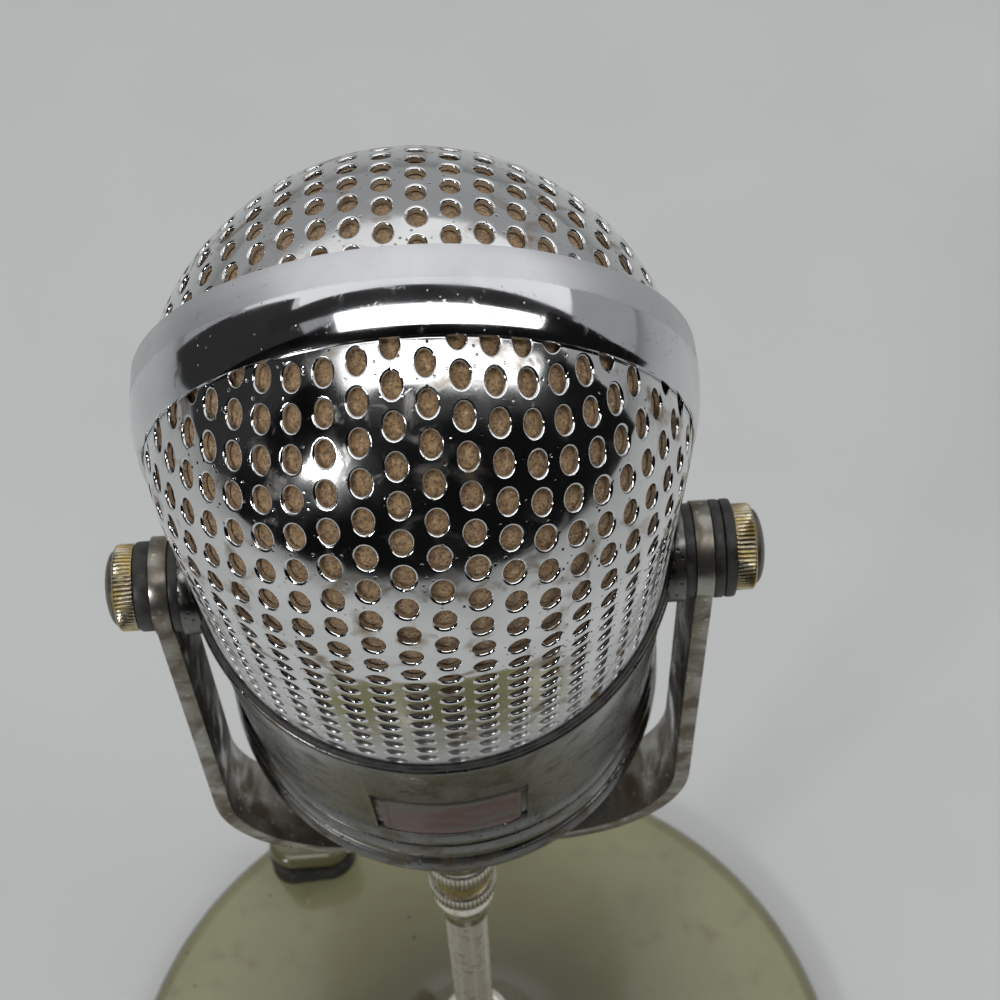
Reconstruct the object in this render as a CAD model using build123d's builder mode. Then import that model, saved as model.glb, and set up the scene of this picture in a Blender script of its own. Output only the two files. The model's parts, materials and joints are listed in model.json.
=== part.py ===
from build123d import *
import os
from math import cos, radians, sin

os.makedirs("parts", exist_ok=True)

# ---------------------------------------------------------------- driving dimensions (mm, degrees)
FIT = 0.05                  # gap between pieces that touch
RUN = 0.05                  # radial clearance of a turning fit

# Stand
BASE_RADIUS = 86.5
BASE_EDGE = 6.0             # height of the base's upright edge
BASE_WALL = 4.0
FELT = 1.5                  # felt thickness under the base
PLATE = 1.2                 # closing plate thickness
BELL_TOP = 66.0             # height of the bell where it meets the stem
BELL_NECK = 7.5             # its radius there
BELL_PULL = (0.40, 0.32)    # how high the curve of the bell is pulled, near the stem and outside
BOSS_FOOT = 13.0            # underside of the boss that takes the stem
BOSS_RADIUS = 10.0
STEM_RADIUS = 3.95
STEM_BORE = 2.2
STEM_FOOT = 4.5
STEM_TOP = 146.0
NUT_LOW = 133.0             # lower end of the coupling nut
NUT_TOP = 150.0
NUT_RADIUS = 6.2
POST_RING = 62.0            # screw posts under the base
BUTTON_ANGLE = 122.3        # where the talk button stands on the base, from +X
BUTTON_RING = 74.0
BUTTON_LENGTH = 18.5
BUTTON_WIDTH = 10.0
BUTTON_TOP = 25.0
BUTTON_WALL = 2.5
BUTTON_TRAVEL = 2.5
BEZEL = 1.3                 # width of the dark bezel round the button
BEZEL_TOP = 21.0

# Yoke
PIVOT_HEIGHT = 258.0        # tilt axis above the table
YOKE_GAP = 35.7             # middle plane to the inner face of an arm
YOKE_STRIP = 2.4
YOKE_WIDTH = 12.5
YOKE_DROP = 82.0            # tilt axis down to the underside of the yoke
YOKE_CORNER = 23.0
YOKE_HOLE = 4.0             # hole at the bottom for the socket
EYE_RADIUS = 6.8
SHANK_RADIUS = 1.95         # thumb screw thread
KNOB_RADIUS = 6.0
KNOB_BAND = 2.8             # width of the knurled band
KNOB_DOME = 1.6
KNOB_EDGE = 0.4             # chamfer of the band
LEFT_WASHER = 2.2
RIGHT_WASHER = 1.5
LEFT_WASHER_RADIUS = 6.2
RIGHT_WASHER_RADIUS = 6.8
SOCKET_RADIUS = 8.5

# Head, measured in its own leaning frame with the tilt axis at height zero
HEAD_TILT = 12.0            # forward lean at rest
AXIS_OFFSET = 4.4           # the head's own axis stands behind the tilt axis
GRILLE_RADIUS = 32.7
GRILLE_WALL = 0.8
GRILLE_FOOT = 2.0           # lower edge of the grilles
CROWN = 40.5                # centre of the round crown above the tilt axis
BAND_RADIUS = 34.0
BAND_FRONT = -4.2           # front rim of the band, from the head's own axis
BAND_SHOULDER = -2.8        # where its curved front wall begins
BAND_CREST = 2.0            # ridge between the front wall and the outer face
BAND_REAR = 6.0
BAND_FOOT = 8.0             # lower ends of the band's legs
BAND_SCREW = 13.0           # height of the screw in each leg
CLOTH = 1.2
CLOTH_FOOT = 6.0
FRAME_HALF = 3.0            # half width of the inner frame's rib
FRAME_DEPTH = 3.7
COLLAR_RADIUS = 33.3
COLLAR_WALL = 1.8
COLLAR_FOOT = -42.0
RING_FOOT = -63.0
BEAD_RADII = (33.9, 34.5, 35.1)   # three beads of the ring, from the top
BEAD_FEET = (-47.8, -55.5)        # lower edges of the first two
COVE_FOOT = -58.0                 # the hollow between the second and the third
RING_WALL = 3.4
BADGE_WIDTH = 22.0
BADGE_LOW = -40.8
BADGE_HIGH = -18.4
BADGE_DEPTH = 0.8
TRUNNION_FACE = 34.2        # outer face of the side bosses
TRUNNION_RADIUS = 7.0
TRUNNION_SHANK = 4.4
TRUNNION_INNER = 26.0
CARTRIDGE_RADIUS = 20.0
CARTRIDGE_HEIGHT = 34.0
CARTRIDGE_FRONT = -14.0
CARTRIDGE_BACK = 8.0
CHASSIS_TOP = -53.0
OUTLET_HEIGHT = -22.0       # output socket at the back of the collar
OUTLET_RADIUS = 7.9
OUTLET_END = 46.0

# ---------------------------------------------------------------- frames
lean = radians(HEAD_TILT)
head_up = Vector(0, -sin(lean), cos(lean))
head_back = Vector(0, cos(lean), sin(lean))
pivot = Vector(0, 0, PIVOT_HEIGHT)
head_origin = pivot + head_back * AXIS_OFFSET
head_axis = Axis(head_origin, head_up)
grille_inside = GRILLE_RADIUS - GRILLE_WALL
cloth_outside = grille_inside - FIT


def head_level(height):
    """Cross plane of the head at a height along its own axis."""
    return Plane(origin=head_origin + head_up * height, x_dir=(1, 0, 0), z_dir=head_up)


def head_upright(behind=0.0):
    """Upright plane across the head: x is +X, y runs up the head, the normal faces forward."""
    return Plane(origin=head_origin + head_back * behind, x_dir=(1, 0, 0), z_dir=-head_back)


def side_plane(x, behind=0.0, height=0.0):
    """Plane facing +X through the tilt axis: x points back along the head, y up the head."""
    spot = pivot + head_back * behind + head_up * height
    return Plane(origin=(x, spot.Y, spot.Z), x_dir=head_back, z_dir=(1, 0, 0))


def capsule_half(radius, foot):
    """Closed outline, beside the head's axis, of an upright tube with a round crown."""
    Line((0, foot), (radius, foot))
    Line((radius, foot), (radius, CROWN))
    CenterArc((0, CROWN), radius, 0, 90)
    Line((0, CROWN + radius), (0, foot))


def capsule_shell(outside, inside, foot):
    """Turned shell of the grilles and the cloth, made in the part being built."""
    with BuildSketch(head_upright()) as section:
        with BuildLine():
            capsule_half(outside, foot)
        make_face()
        with BuildLine():
            capsule_half(inside, foot)
        make_face(mode=Mode.SUBTRACT)
    revolve(section.sketch, axis=head_axis)


def trunnion_notches(radius):
    """Side holes on the tilt axis."""
    for side in (1, -1):
        with BuildSketch(side_plane(side * (TRUNNION_INNER - 2))) as hole:
            Circle(radius)
        extrude(hole.sketch, amount=side * COLLAR_RADIUS, mode=Mode.SUBTRACT)


def save(piece, label):
    """Label one finished piece and write its STEP file."""
    piece.label = label
    export_step(piece, f"parts/{label}.step")


# ---------------------------------------------------------------- base
edge_top = FELT + BASE_EDGE
edge_low = edge_top - 2.0           # where the rim starts to round over
bell_rim = (BASE_RADIUS - 5.0, edge_top + 3.5)
hollow_top = BOSS_FOOT + 1.5
stem_hole = STEM_RADIUS + FIT
plate_top = FELT + PLATE
post_radius = 4.0
post_hole = 1.5
screw_depth = 7.0           # how far the plate screws reach into the posts
screw_cap = 2.8             # radius of their heads
post_spots = PolarLocations(POST_RING, 3, start_angle=30)
button_spot = PolarLocations(BUTTON_RING, 1, start_angle=BUTTON_ANGLE)

with BuildPart() as base_casting:
    with BuildSketch(Plane.XZ):
        with BuildLine():
            Line((stem_hole, FELT), (stem_hole, BELL_TOP))
            Line((stem_hole, BELL_TOP), (BELL_NECK, BELL_TOP))
            Bezier(
                (BELL_NECK, BELL_TOP),
                (BELL_NECK + 5.0, BELL_TOP * BELL_PULL[0]),
                (BASE_RADIUS * 0.45, BELL_TOP * BELL_PULL[1]),
                bell_rim,
            )
            ThreePointArc(
                bell_rim,
                (BASE_RADIUS - 1.4, edge_top + 1.2),
                (BASE_RADIUS, edge_low),
            )
            Line((BASE_RADIUS, edge_low), (BASE_RADIUS, FELT))
            Line((BASE_RADIUS, FELT), (stem_hole, FELT))
        make_face()
    revolve(axis=Axis.Z)
    with BuildSketch(Plane.XZ):
        with BuildLine():
            Polyline(
                (0, FELT),
                (BASE_RADIUS - BASE_WALL, FELT),
                (BASE_RADIUS - BASE_WALL, edge_low),
                (BASE_RADIUS * 0.55, hollow_top),
                (BOSS_RADIUS, hollow_top),
                (BOSS_RADIUS, BOSS_FOOT),
                (0, BOSS_FOOT),
                close=True,
            )
        make_face()
    revolve(axis=Axis.Z, mode=Mode.SUBTRACT)
    with BuildSketch(Plane.XY.offset(plate_top + FIT)):
        with post_spots:
            Circle(post_radius)
    extrude(until=Until.NEXT)
    with BuildSketch(Plane.XY.offset(FELT)):
        with post_spots:
            Circle(post_hole)
    extrude(amount=screw_depth + 0.5, mode=Mode.SUBTRACT)
    with BuildSketch(Plane.XY.offset(plate_top)):
        with button_spot:
            SlotOverall(BUTTON_LENGTH + 2 * BEZEL, BUTTON_WIDTH + 2 * BEZEL, rotation=-BUTTON_ANGLE)
    extrude(amount=BELL_TOP, mode=Mode.SUBTRACT)
save(base_casting.part, "base_casting")

with BuildPart() as felt_pad:
    Cylinder(BASE_RADIUS - 0.6, FELT, align=(Align.CENTER, Align.CENTER, Align.MIN))
    with Locations(Plane.XY.offset(FELT)):
        with post_spots:
            Hole(screw_cap + 0.5)
save(felt_pad.part, "felt_pad")

with BuildPart() as base_plate:
    with BuildSketch(Plane.XY.offset(FELT + FIT)):
        Circle(BASE_RADIUS - BASE_WALL - 0.1)
        with post_spots:
            Circle(post_hole + 0.1, mode=Mode.SUBTRACT)
    extrude(amount=PLATE - FIT)
save(base_plate.part, "base_plate")

with BuildPart() as plate_screws:
    with BuildSketch(Plane.XY.offset(FELT)):
        with post_spots:
            Circle(screw_cap)
    extrude(amount=-1.1)
    with BuildSketch(Plane.XY.offset(FELT)):
        with post_spots:
            Circle(post_hole - FIT)
    extrude(amount=screw_depth)
save(plate_screws.part, "plate_screws")

washer_thickness = 1.5
nut_corner = 7.5            # radius to the corners of the hexagon
nut_height = 5.0
with BuildPart() as stem_washer:
    with BuildSketch(Plane.XY.offset(BOSS_FOOT - FIT)):
        Circle(BOSS_RADIUS - 1.0)
        Circle(stem_hole, mode=Mode.SUBTRACT)
    extrude(amount=-washer_thickness)
save(stem_washer.part, "stem_washer")

with BuildPart() as stem_nut:
    with BuildSketch(Plane.XY.offset(BOSS_FOOT - washer_thickness - 2 * FIT)):
        RegularPolygon(nut_corner, 6)
        Circle(stem_hole, mode=Mode.SUBTRACT)
    extrude(amount=-nut_height)
save(stem_nut.part, "stem_nut")

with BuildPart() as stem:
    with BuildSketch(Plane.XY.offset(STEM_FOOT)):
        Circle(STEM_RADIUS)
        Circle(STEM_BORE, mode=Mode.SUBTRACT)
    extrude(amount=STEM_TOP - STEM_FOOT)
save(stem.part, "stem")

collar_top = BELL_TOP + 4.0
with BuildPart() as stem_collar:
    with BuildSketch(Plane.XZ):
        with BuildLine():
            Polyline(
                (stem_hole, BELL_TOP + FIT),
                (BELL_NECK, BELL_TOP + FIT),
                (BELL_NECK, collar_top - 2.0),
                (BELL_NECK - 1.5, collar_top),
                (stem_hole, collar_top),
                close=True,
            )
        make_face()
    revolve(axis=Axis.Z)
save(stem_collar.part, "stem_collar")

# Talk button: an oval cap sliding in a dark bezel, over a spring and a switch
switch_low = plate_top + FIT
switch_top = plate_top + 4.0
cap_low = switch_top + BUTTON_TRAVEL
cap_fillet = BUTTON_TOP - BEZEL_TOP - 0.2
switch_size = (12.0, 7.0)
spring_wire = 0.35
spring_radius = 2.2


def button_oval(height, margin):
    """Oval of the button, grown by a margin on each side, as a sketch at a height."""
    with BuildSketch(Plane.XY.offset(height)) as oval:
        with button_spot:
            SlotOverall(BUTTON_LENGTH + 2 * margin, BUTTON_WIDTH + 2 * margin, rotation=-BUTTON_ANGLE)
    return oval.sketch


with BuildPart() as button_bezel:
    extrude(button_oval(switch_top, BEZEL - FIT), amount=BEZEL_TOP - switch_top)
    fillet(button_bezel.faces().sort_by(Axis.Z)[-1].edges(), radius=0.8)
    extrude(button_oval(switch_top, FIT), amount=BEZEL_TOP - switch_top, mode=Mode.SUBTRACT)
save(button_bezel.part, "button_bezel")

with BuildPart() as talk_button:
    extrude(button_oval(cap_low, 0), amount=BUTTON_TOP - cap_low)
    fillet(talk_button.faces().sort_by(Axis.Z)[-1].edges(), radius=cap_fillet)
    cavity = BUTTON_TOP - BUTTON_WALL - cap_low
    extrude(button_oval(cap_low, -2.0), amount=cavity, mode=Mode.SUBTRACT)
save(talk_button.part, "talk_button")

with BuildPart() as switch_body:
    with BuildSketch(Plane.XY.offset(switch_low)):
        with button_spot:
            Rectangle(*switch_size, rotation=-BUTTON_ANGLE)
    extrude(amount=switch_top - switch_low)
save(switch_body.part, "switch_body")

spring_end = spring_wire + 0.15
spring_low = switch_top + spring_end
spring_height = BUTTON_TOP - BUTTON_WALL - spring_end - spring_low
button_x = BUTTON_RING * cos(radians(BUTTON_ANGLE))
button_y = BUTTON_RING * sin(radians(BUTTON_ANGLE))
with BuildPart() as button_spring:
    with BuildLine() as coil:
        Helix(1.6, spring_height, spring_radius, center=(button_x, button_y, spring_low))
    with BuildSketch(Plane(origin=coil.line @ 0, z_dir=coil.line % 0)):
        Circle(spring_wire)
    sweep()
save(button_spring.part, "button_spring")

# ---------------------------------------------------------------- coupling nut
nut_waist = NUT_RADIUS - 1.0
lower_flange = (NUT_LOW + 4.8, NUT_LOW + 9.0)
upper_flange = NUT_LOW + 12.4
flange_edge = 0.6
flange_bore = 3.6           # opening above the shoulder that lifts the yoke's socket
shoulder_bore = 4.6
with BuildPart() as coupling_nut:
    with BuildSketch(Plane.XZ):
        with BuildLine():
            Polyline(
                (STEM_RADIUS + RUN, NUT_LOW),
                (STEM_RADIUS + 0.9, NUT_LOW),
                (STEM_RADIUS + 1.5, NUT_LOW + 2.5),
                (nut_waist, lower_flange[0]),
                (NUT_RADIUS - 0.2, lower_flange[0] + flange_edge),
                (NUT_RADIUS - 0.2, lower_flange[1] - flange_edge),
                (nut_waist, lower_flange[1]),
                (nut_waist, upper_flange),
                (NUT_RADIUS, upper_flange + 0.8),
                (NUT_RADIUS, NUT_TOP - flange_edge),
                (NUT_RADIUS - flange_edge, NUT_TOP),
                (flange_bore, NUT_TOP),
                (flange_bore, STEM_TOP + 2.2),
                (shoulder_bore, STEM_TOP + 2.2),
                (shoulder_bore, STEM_TOP),
                (STEM_RADIUS + RUN, STEM_TOP),
                close=True,
            )
        make_face()
    revolve(axis=Axis.Z)
save(coupling_nut.part, "coupling_nut")

# ---------------------------------------------------------------- yoke
yoke_low = PIVOT_HEIGHT - YOKE_DROP
with BuildPart() as yoke_strip:
    with BuildSketch(Plane.XZ):
        with Locations((0, PIVOT_HEIGHT)):
            Rectangle(2 * (YOKE_GAP + YOKE_STRIP), YOKE_DROP, align=(Align.CENTER, Align.MAX))
        fillet(vertices().group_by(Axis.Y)[0], radius=YOKE_CORNER)
    extrude(amount=YOKE_WIDTH / 2, both=True)
    with BuildSketch(Plane.XZ):
        with Locations((0, PIVOT_HEIGHT)):
            Rectangle(2 * YOKE_GAP, YOKE_DROP - YOKE_STRIP, align=(Align.CENTER, Align.MAX))
        fillet(vertices().group_by(Axis.Y)[0], radius=YOKE_CORNER - YOKE_STRIP)
    extrude(amount=YOKE_WIDTH / 2, both=True, mode=Mode.SUBTRACT)
    for face_x in (YOKE_GAP, -YOKE_GAP - YOKE_STRIP):
        with BuildSketch(Plane(origin=(face_x, 0, PIVOT_HEIGHT), z_dir=(1, 0, 0))):
            Circle(EYE_RADIUS)
        extrude(amount=YOKE_STRIP)
    with BuildSketch(Plane(origin=(-YOKE_GAP - 5, 0, PIVOT_HEIGHT), z_dir=(1, 0, 0))):
        Circle(SHANK_RADIUS + RUN)
    extrude(amount=2 * YOKE_GAP + 10, mode=Mode.SUBTRACT)
    with BuildSketch(Plane.XY.offset(yoke_low - 1)):
        Circle(YOKE_HOLE)
    extrude(amount=YOKE_STRIP + 2, mode=Mode.SUBTRACT)
save(yoke_strip.part, "yoke_strip")

pin_radius = STEM_BORE - RUN        # pin that turns in the stem's bore
pin_foot = STEM_TOP - 10.0
shoulder_top = STEM_TOP + 2.1
rivet_radius = YOKE_HOLE - FIT
rivet_top = yoke_low + YOKE_STRIP + 3.2
with BuildPart() as yoke_socket:
    with BuildSketch(Plane.XZ):
        with BuildLine():
            Polyline(
                (0, pin_foot),
                (pin_radius, pin_foot),
                (pin_radius, STEM_TOP + FIT),
                (shoulder_bore - 0.1, STEM_TOP + FIT),
                (shoulder_bore - 0.1, shoulder_top),
                (flange_bore - 0.1, shoulder_top),
                (flange_bore - 0.1, NUT_TOP + 0.2),
                (NUT_RADIUS - 0.8, NUT_TOP + 1.2),
                (NUT_RADIUS, NUT_TOP + 12.0),
                (SOCKET_RADIUS, NUT_TOP + 18.0),
                (SOCKET_RADIUS, yoke_low - FIT),
                (rivet_radius, yoke_low - FIT),
                (rivet_radius, rivet_top),
                (0, rivet_top),
                close=True,
            )
        make_face()
    revolve(axis=Axis.Z)
save(yoke_socket.part, "yoke_socket")

with BuildPart() as yoke_nut:
    with BuildSketch(Plane.XY.offset(yoke_low + YOKE_STRIP + FIT)):
        RegularPolygon(SOCKET_RADIUS - 1.5, 6)
        Circle(YOKE_HOLE, mode=Mode.SUBTRACT)
    extrude(amount=3.0)
save(yoke_nut.part, "yoke_nut")


def washer(x_low, thickness, radius, bore=SHANK_RADIUS + RUN):
    """Flat washer on the tilt axis, made in the part being built."""
    with BuildSketch(Plane(origin=(x_low, 0, PIVOT_HEIGHT), z_dir=(1, 0, 0))) as face:
        Circle(radius)
        Circle(bore, mode=Mode.SUBTRACT)
    extrude(face.sketch, amount=thickness)


spacer_gap = YOKE_GAP - TRUNNION_FACE - 2 * FIT
with BuildPart() as spacers:
    washer(TRUNNION_FACE + FIT, spacer_gap, EYE_RADIUS - 0.3)
    washer(-YOKE_GAP + FIT, spacer_gap, EYE_RADIUS - 0.3)
save(spacers.part, "spacers")

outer_face = YOKE_GAP + YOKE_STRIP + FIT
with BuildPart() as left_washer:
    washer(-outer_face - LEFT_WASHER, LEFT_WASHER, LEFT_WASHER_RADIUS)
save(left_washer.part, "left_washer")

with BuildPart() as right_washers:
    washer(outer_face, RIGHT_WASHER, RIGHT_WASHER_RADIUS)
    washer(outer_face + RIGHT_WASHER + FIT, RIGHT_WASHER, RIGHT_WASHER_RADIUS)
save(right_washers.part, "right_washers")


def thumbscrew(side, seat):
    """Knurled screw on the tilt axis: shank, broad band and low dome; side is +1 or -1."""
    start = TRUNNION_INNER + 1.5
    band_end = seat + KNOB_BAND
    tip = band_end + KNOB_DOME
    flat = 0.8
    with BuildSketch(Plane(origin=pivot, x_dir=(1, 0, 0), z_dir=(0, -1, 0))) as half:
        with BuildLine():
            Polyline(
                (side * start, 0),
                (side * start, SHANK_RADIUS),
                (side * seat, SHANK_RADIUS),
                (side * seat, KNOB_RADIUS - KNOB_EDGE),
                (side * (seat + KNOB_EDGE), KNOB_RADIUS),
                (side * (band_end - KNOB_EDGE), KNOB_RADIUS),
                (side * band_end, KNOB_RADIUS - KNOB_EDGE),
            )
            ThreePointArc(
                (side * band_end, KNOB_RADIUS - KNOB_EDGE),
                (side * (band_end + KNOB_DOME * 0.72), KNOB_RADIUS * 0.55),
                (side * tip, flat),
            )
            Polyline((side * tip, flat), (side * tip, 0), (side * start, 0))
        make_face()
    revolve(half.sketch, axis=Axis(pivot, (1, 0, 0)))


with BuildPart() as left_thumbscrew:
    thumbscrew(-1, outer_face + LEFT_WASHER + FIT)
save(left_thumbscrew.part, "left_thumbscrew")

with BuildPart() as right_thumbscrew:
    thumbscrew(1, outer_face + 2 * RIGHT_WASHER + 2 * FIT)
save(right_thumbscrew.part, "right_thumbscrew")

# ---------------------------------------------------------------- head: grilles, cloth and band
with BuildPart() as front_grille:
    capsule_shell(GRILLE_RADIUS, grille_inside, GRILLE_FOOT)
    split(bisect_by=head_upright(-0.3), keep=Keep.TOP)
    trunnion_notches(TRUNNION_SHANK + FIT)
save(front_grille.part, "front_grille")

with BuildPart() as rear_grille:
    capsule_shell(GRILLE_RADIUS, grille_inside, GRILLE_FOOT)
    split(bisect_by=head_upright(0.3), keep=Keep.BOTTOM)
    trunnion_notches(TRUNNION_SHANK + FIT)
save(rear_grille.part, "rear_grille")

with BuildPart() as front_cloth:
    capsule_shell(cloth_outside, cloth_outside - CLOTH, CLOTH_FOOT)
    split(bisect_by=head_upright(-FRAME_HALF - FIT), keep=Keep.TOP)
    trunnion_notches(TRUNNION_RADIUS)
save(front_cloth.part, "front_cloth")

with BuildPart() as rear_cloth:
    capsule_shell(cloth_outside, cloth_outside - CLOTH, CLOTH_FOOT)
    split(bisect_by=head_upright(FRAME_HALF + FIT), keep=Keep.BOTTOM)
    trunnion_notches(TRUNNION_RADIUS)
save(rear_cloth.part, "rear_cloth")

crown_spot = head_origin + head_up * CROWN
band_screw_spot = (BAND_CREST + BAND_REAR) / 2 + AXIS_OFFSET
screw_hole = 1.3
band_screw_head = 1.9


def band_section():
    """Closed cross section of the band at its right leg, seen from above."""
    under = GRILLE_RADIUS - 1.0
    rim = GRILLE_RADIUS + 0.3
    shoulder = GRILLE_RADIUS + 0.7
    Line((under, BAND_FRONT), (rim, BAND_FRONT))
    Line((rim, BAND_FRONT), (shoulder, BAND_SHOULDER))
    ThreePointArc(
        (shoulder, BAND_SHOULDER),
        (BAND_RADIUS - 0.15, (BAND_SHOULDER + BAND_CREST) / 2),
        (BAND_RADIUS, BAND_CREST),
    )
    Line((BAND_RADIUS, BAND_CREST), (BAND_RADIUS - 0.2, BAND_REAR))
    Line((BAND_RADIUS - 0.2, BAND_REAR), (under, BAND_REAR))
    Line((under, BAND_REAR), (under, BAND_FRONT))


with BuildPart() as arch_band:
    with BuildSketch(head_level(CROWN)) as right_leg:
        with BuildLine():
            band_section()
        make_face()
    revolve(right_leg.sketch, axis=Axis(crown_spot, head_back), revolution_arc=-180)
    with BuildSketch(head_level(CROWN)) as both_legs:
        add(right_leg.sketch_local)
        mirror(about=Plane.YZ)
    extrude(both_legs.sketch, amount=BAND_FOOT - CROWN)
    with BuildSketch(head_upright()) as bore:
        with BuildLine():
            capsule_half(GRILLE_RADIUS + FIT, -1)
        make_face()
    revolve(bore.sketch, axis=head_axis, mode=Mode.SUBTRACT)
    with BuildSketch(side_plane(-BAND_RADIUS - 1, band_screw_spot, BAND_SCREW)) as screw_holes:
        Circle(screw_hole)
    extrude(screw_holes.sketch, amount=2 * BAND_RADIUS + 2, mode=Mode.SUBTRACT)
save(arch_band.part, "arch_band")

with BuildPart() as band_screws:
    for side in (1, -1):
        with BuildSketch(side_plane(side * (BAND_RADIUS + FIT), band_screw_spot, BAND_SCREW)):
            Circle(band_screw_head)
        extrude(amount=side * 0.6)
        with BuildSketch(side_plane(side * (GRILLE_RADIUS + 2 * FIT), band_screw_spot, BAND_SCREW)):
            Circle(screw_hole - FIT)
        extrude(amount=side * (BAND_RADIUS - GRILLE_RADIUS + 0.2))
save(band_screws.part, "band_screws")

with BuildPart() as inner_frame:
    capsule_shell(cloth_outside, cloth_outside - FRAME_DEPTH, BAND_FOOT + 1)
    split(bisect_by=head_upright(-FRAME_HALF), keep=Keep.BOTTOM)
    split(bisect_by=head_upright(FRAME_HALF), keep=Keep.TOP)
save(inner_frame.part, "inner_frame")

# ---------------------------------------------------------------- head: collar, rings and bottom
badge_inset = 0.3           # gap round the badge in its recess
lip_outside = grille_inside - FIT   # thin lip standing inside the grilles
lip_inside = lip_outside - 1.4
lip_top = CLOTH_FOOT - FIT
collar_inside = COLLAR_RADIUS - COLLAR_WALL
collar_seat = GRILLE_FOOT - FIT
with BuildPart() as collar:
    with BuildSketch(head_upright()):
        with BuildLine():
            Polyline(
                (collar_inside, COLLAR_FOOT),
                (COLLAR_RADIUS, COLLAR_FOOT),
                (COLLAR_RADIUS, collar_seat - 0.55),
                (COLLAR_RADIUS - 0.4, collar_seat),
                (lip_outside, collar_seat),
                (lip_outside, lip_top),
                (lip_inside, lip_top),
                (lip_inside, GRILLE_FOOT - 2),
                (collar_inside, GRILLE_FOOT - 3),
                close=True,
            )
        make_face()
    revolve(axis=head_axis)
    trunnion_notches(TRUNNION_SHANK + FIT)
    with BuildSketch(head_level(BADGE_LOW)):
        Circle(COLLAR_RADIUS + 1)
        Circle(COLLAR_RADIUS - BADGE_DEPTH, mode=Mode.SUBTRACT)
        with Locations((0, -COLLAR_RADIUS)):
            Rectangle(BADGE_WIDTH + 2 * badge_inset, 20, mode=Mode.INTERSECT)
    extrude(amount=BADGE_HIGH - BADGE_LOW, mode=Mode.SUBTRACT)
    with BuildSketch(head_upright(COLLAR_RADIUS - 6)):
        with Locations((0, OUTLET_HEIGHT)):
            Circle(OUTLET_RADIUS + FIT)
    extrude(amount=-10, mode=Mode.SUBTRACT)
save(collar.part, "collar")

with BuildPart() as badge_plate:
    with BuildSketch(head_level(BADGE_LOW + badge_inset)):
        Circle(COLLAR_RADIUS - 0.25)
        Circle(COLLAR_RADIUS - BADGE_DEPTH + FIT, mode=Mode.SUBTRACT)
        with Locations((0, -COLLAR_RADIUS)):
            Rectangle(BADGE_WIDTH, 20, mode=Mode.INTERSECT)
    extrude(amount=BADGE_HIGH - BADGE_LOW - 2 * badge_inset)
save(badge_plate.part, "badge_plate")

ring_high = COLLAR_FOOT - FIT
ring_inside = BEAD_RADII[0] - RING_WALL
cap_thickness = 2.0
cap_screw_ring = ring_inside - 1.8
cap_screw_head = 1.7
shelf_low = RING_FOOT + cap_thickness + FIT     # shelf that the bottom cap is screwed to
shelf_high = RING_FOOT + 4.0
shelf_inside = ring_inside - 3.5
spigot = collar_inside - FIT
bead_lip = 0.8
with BuildPart() as stepped_ring:
    with BuildSketch(head_upright()):
        with BuildLine():
            Polyline((ring_inside, ring_high + 3), (spigot, ring_high + 3), (spigot, ring_high))
            corner = (spigot, ring_high)
            tops = (ring_high, BEAD_FEET[0], COVE_FOOT)
            feet = (BEAD_FEET[0], BEAD_FEET[1], RING_FOOT)
            for radius, top, foot in zip(BEAD_RADII, tops, feet):
                bead_top = (radius - bead_lip, top)
                bead_foot = (radius - bead_lip, foot)
                if top == COVE_FOOT:
                    ThreePointArc(corner, (corner[0] - 0.7, (corner[1] + top) / 2), bead_top)
                else:
                    Line(corner, bead_top)
                ThreePointArc(bead_top, (radius, (top + foot) / 2), bead_foot)
                corner = bead_foot
            Polyline(
                corner,
                (ring_inside, RING_FOOT),
                (ring_inside, shelf_low),
                (shelf_inside, shelf_low),
                (shelf_inside, shelf_high),
                (ring_inside, shelf_high),
                (ring_inside, ring_high + 3),
            )
        make_face()
    revolve(axis=head_axis)
    with BuildSketch(head_level(RING_FOOT)):
        with PolarLocations(cap_screw_ring, 3, start_angle=90):
            Circle(screw_hole)
    extrude(amount=6, mode=Mode.SUBTRACT)
save(stepped_ring.part, "stepped_ring")

with BuildPart() as bottom_cap:
    with BuildSketch(head_level(RING_FOOT)):
        Circle(ring_inside - FIT)
        with PolarLocations(cap_screw_ring, 3, start_angle=90):
            Circle(screw_hole, mode=Mode.SUBTRACT)
    extrude(amount=cap_thickness)
save(bottom_cap.part, "bottom_cap")

with BuildPart() as cap_screws:
    with BuildSketch(head_level(RING_FOOT - FIT)):
        with PolarLocations(cap_screw_ring, 3, start_angle=90):
            Circle(cap_screw_head)
    extrude(amount=-0.9)
    with BuildSketch(head_level(RING_FOOT - FIT)):
        with PolarLocations(cap_screw_ring, 3, start_angle=90):
            Circle(screw_hole - FIT)
    extrude(amount=3.8)
save(cap_screws.part, "cap_screws")

# ---------------------------------------------------------------- head: side bosses
with BuildPart() as trunnions:
    for side in (1, -1):
        with BuildSketch(side_plane(side * (TRUNNION_INNER + 1))):
            Circle(TRUNNION_RADIUS)
        extrude(amount=side * (TRUNNION_FACE - TRUNNION_INNER - 1))
    with BuildSketch(head_level(RING_FOOT)):
        Circle(COLLAR_RADIUS + FIT)
    extrude(amount=CROWN - RING_FOOT, mode=Mode.SUBTRACT)
    for side in (1, -1):
        with BuildSketch(side_plane(side * TRUNNION_INNER)):
            Circle(TRUNNION_SHANK)
        extrude(amount=side * (TRUNNION_FACE - TRUNNION_INNER))
    with BuildSketch(side_plane(-TRUNNION_FACE - 1)):
        Circle(SHANK_RADIUS + RUN)
    extrude(amount=2 * TRUNNION_FACE + 2, mode=Mode.SUBTRACT)
save(trunnions.part, "trunnions")

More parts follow.
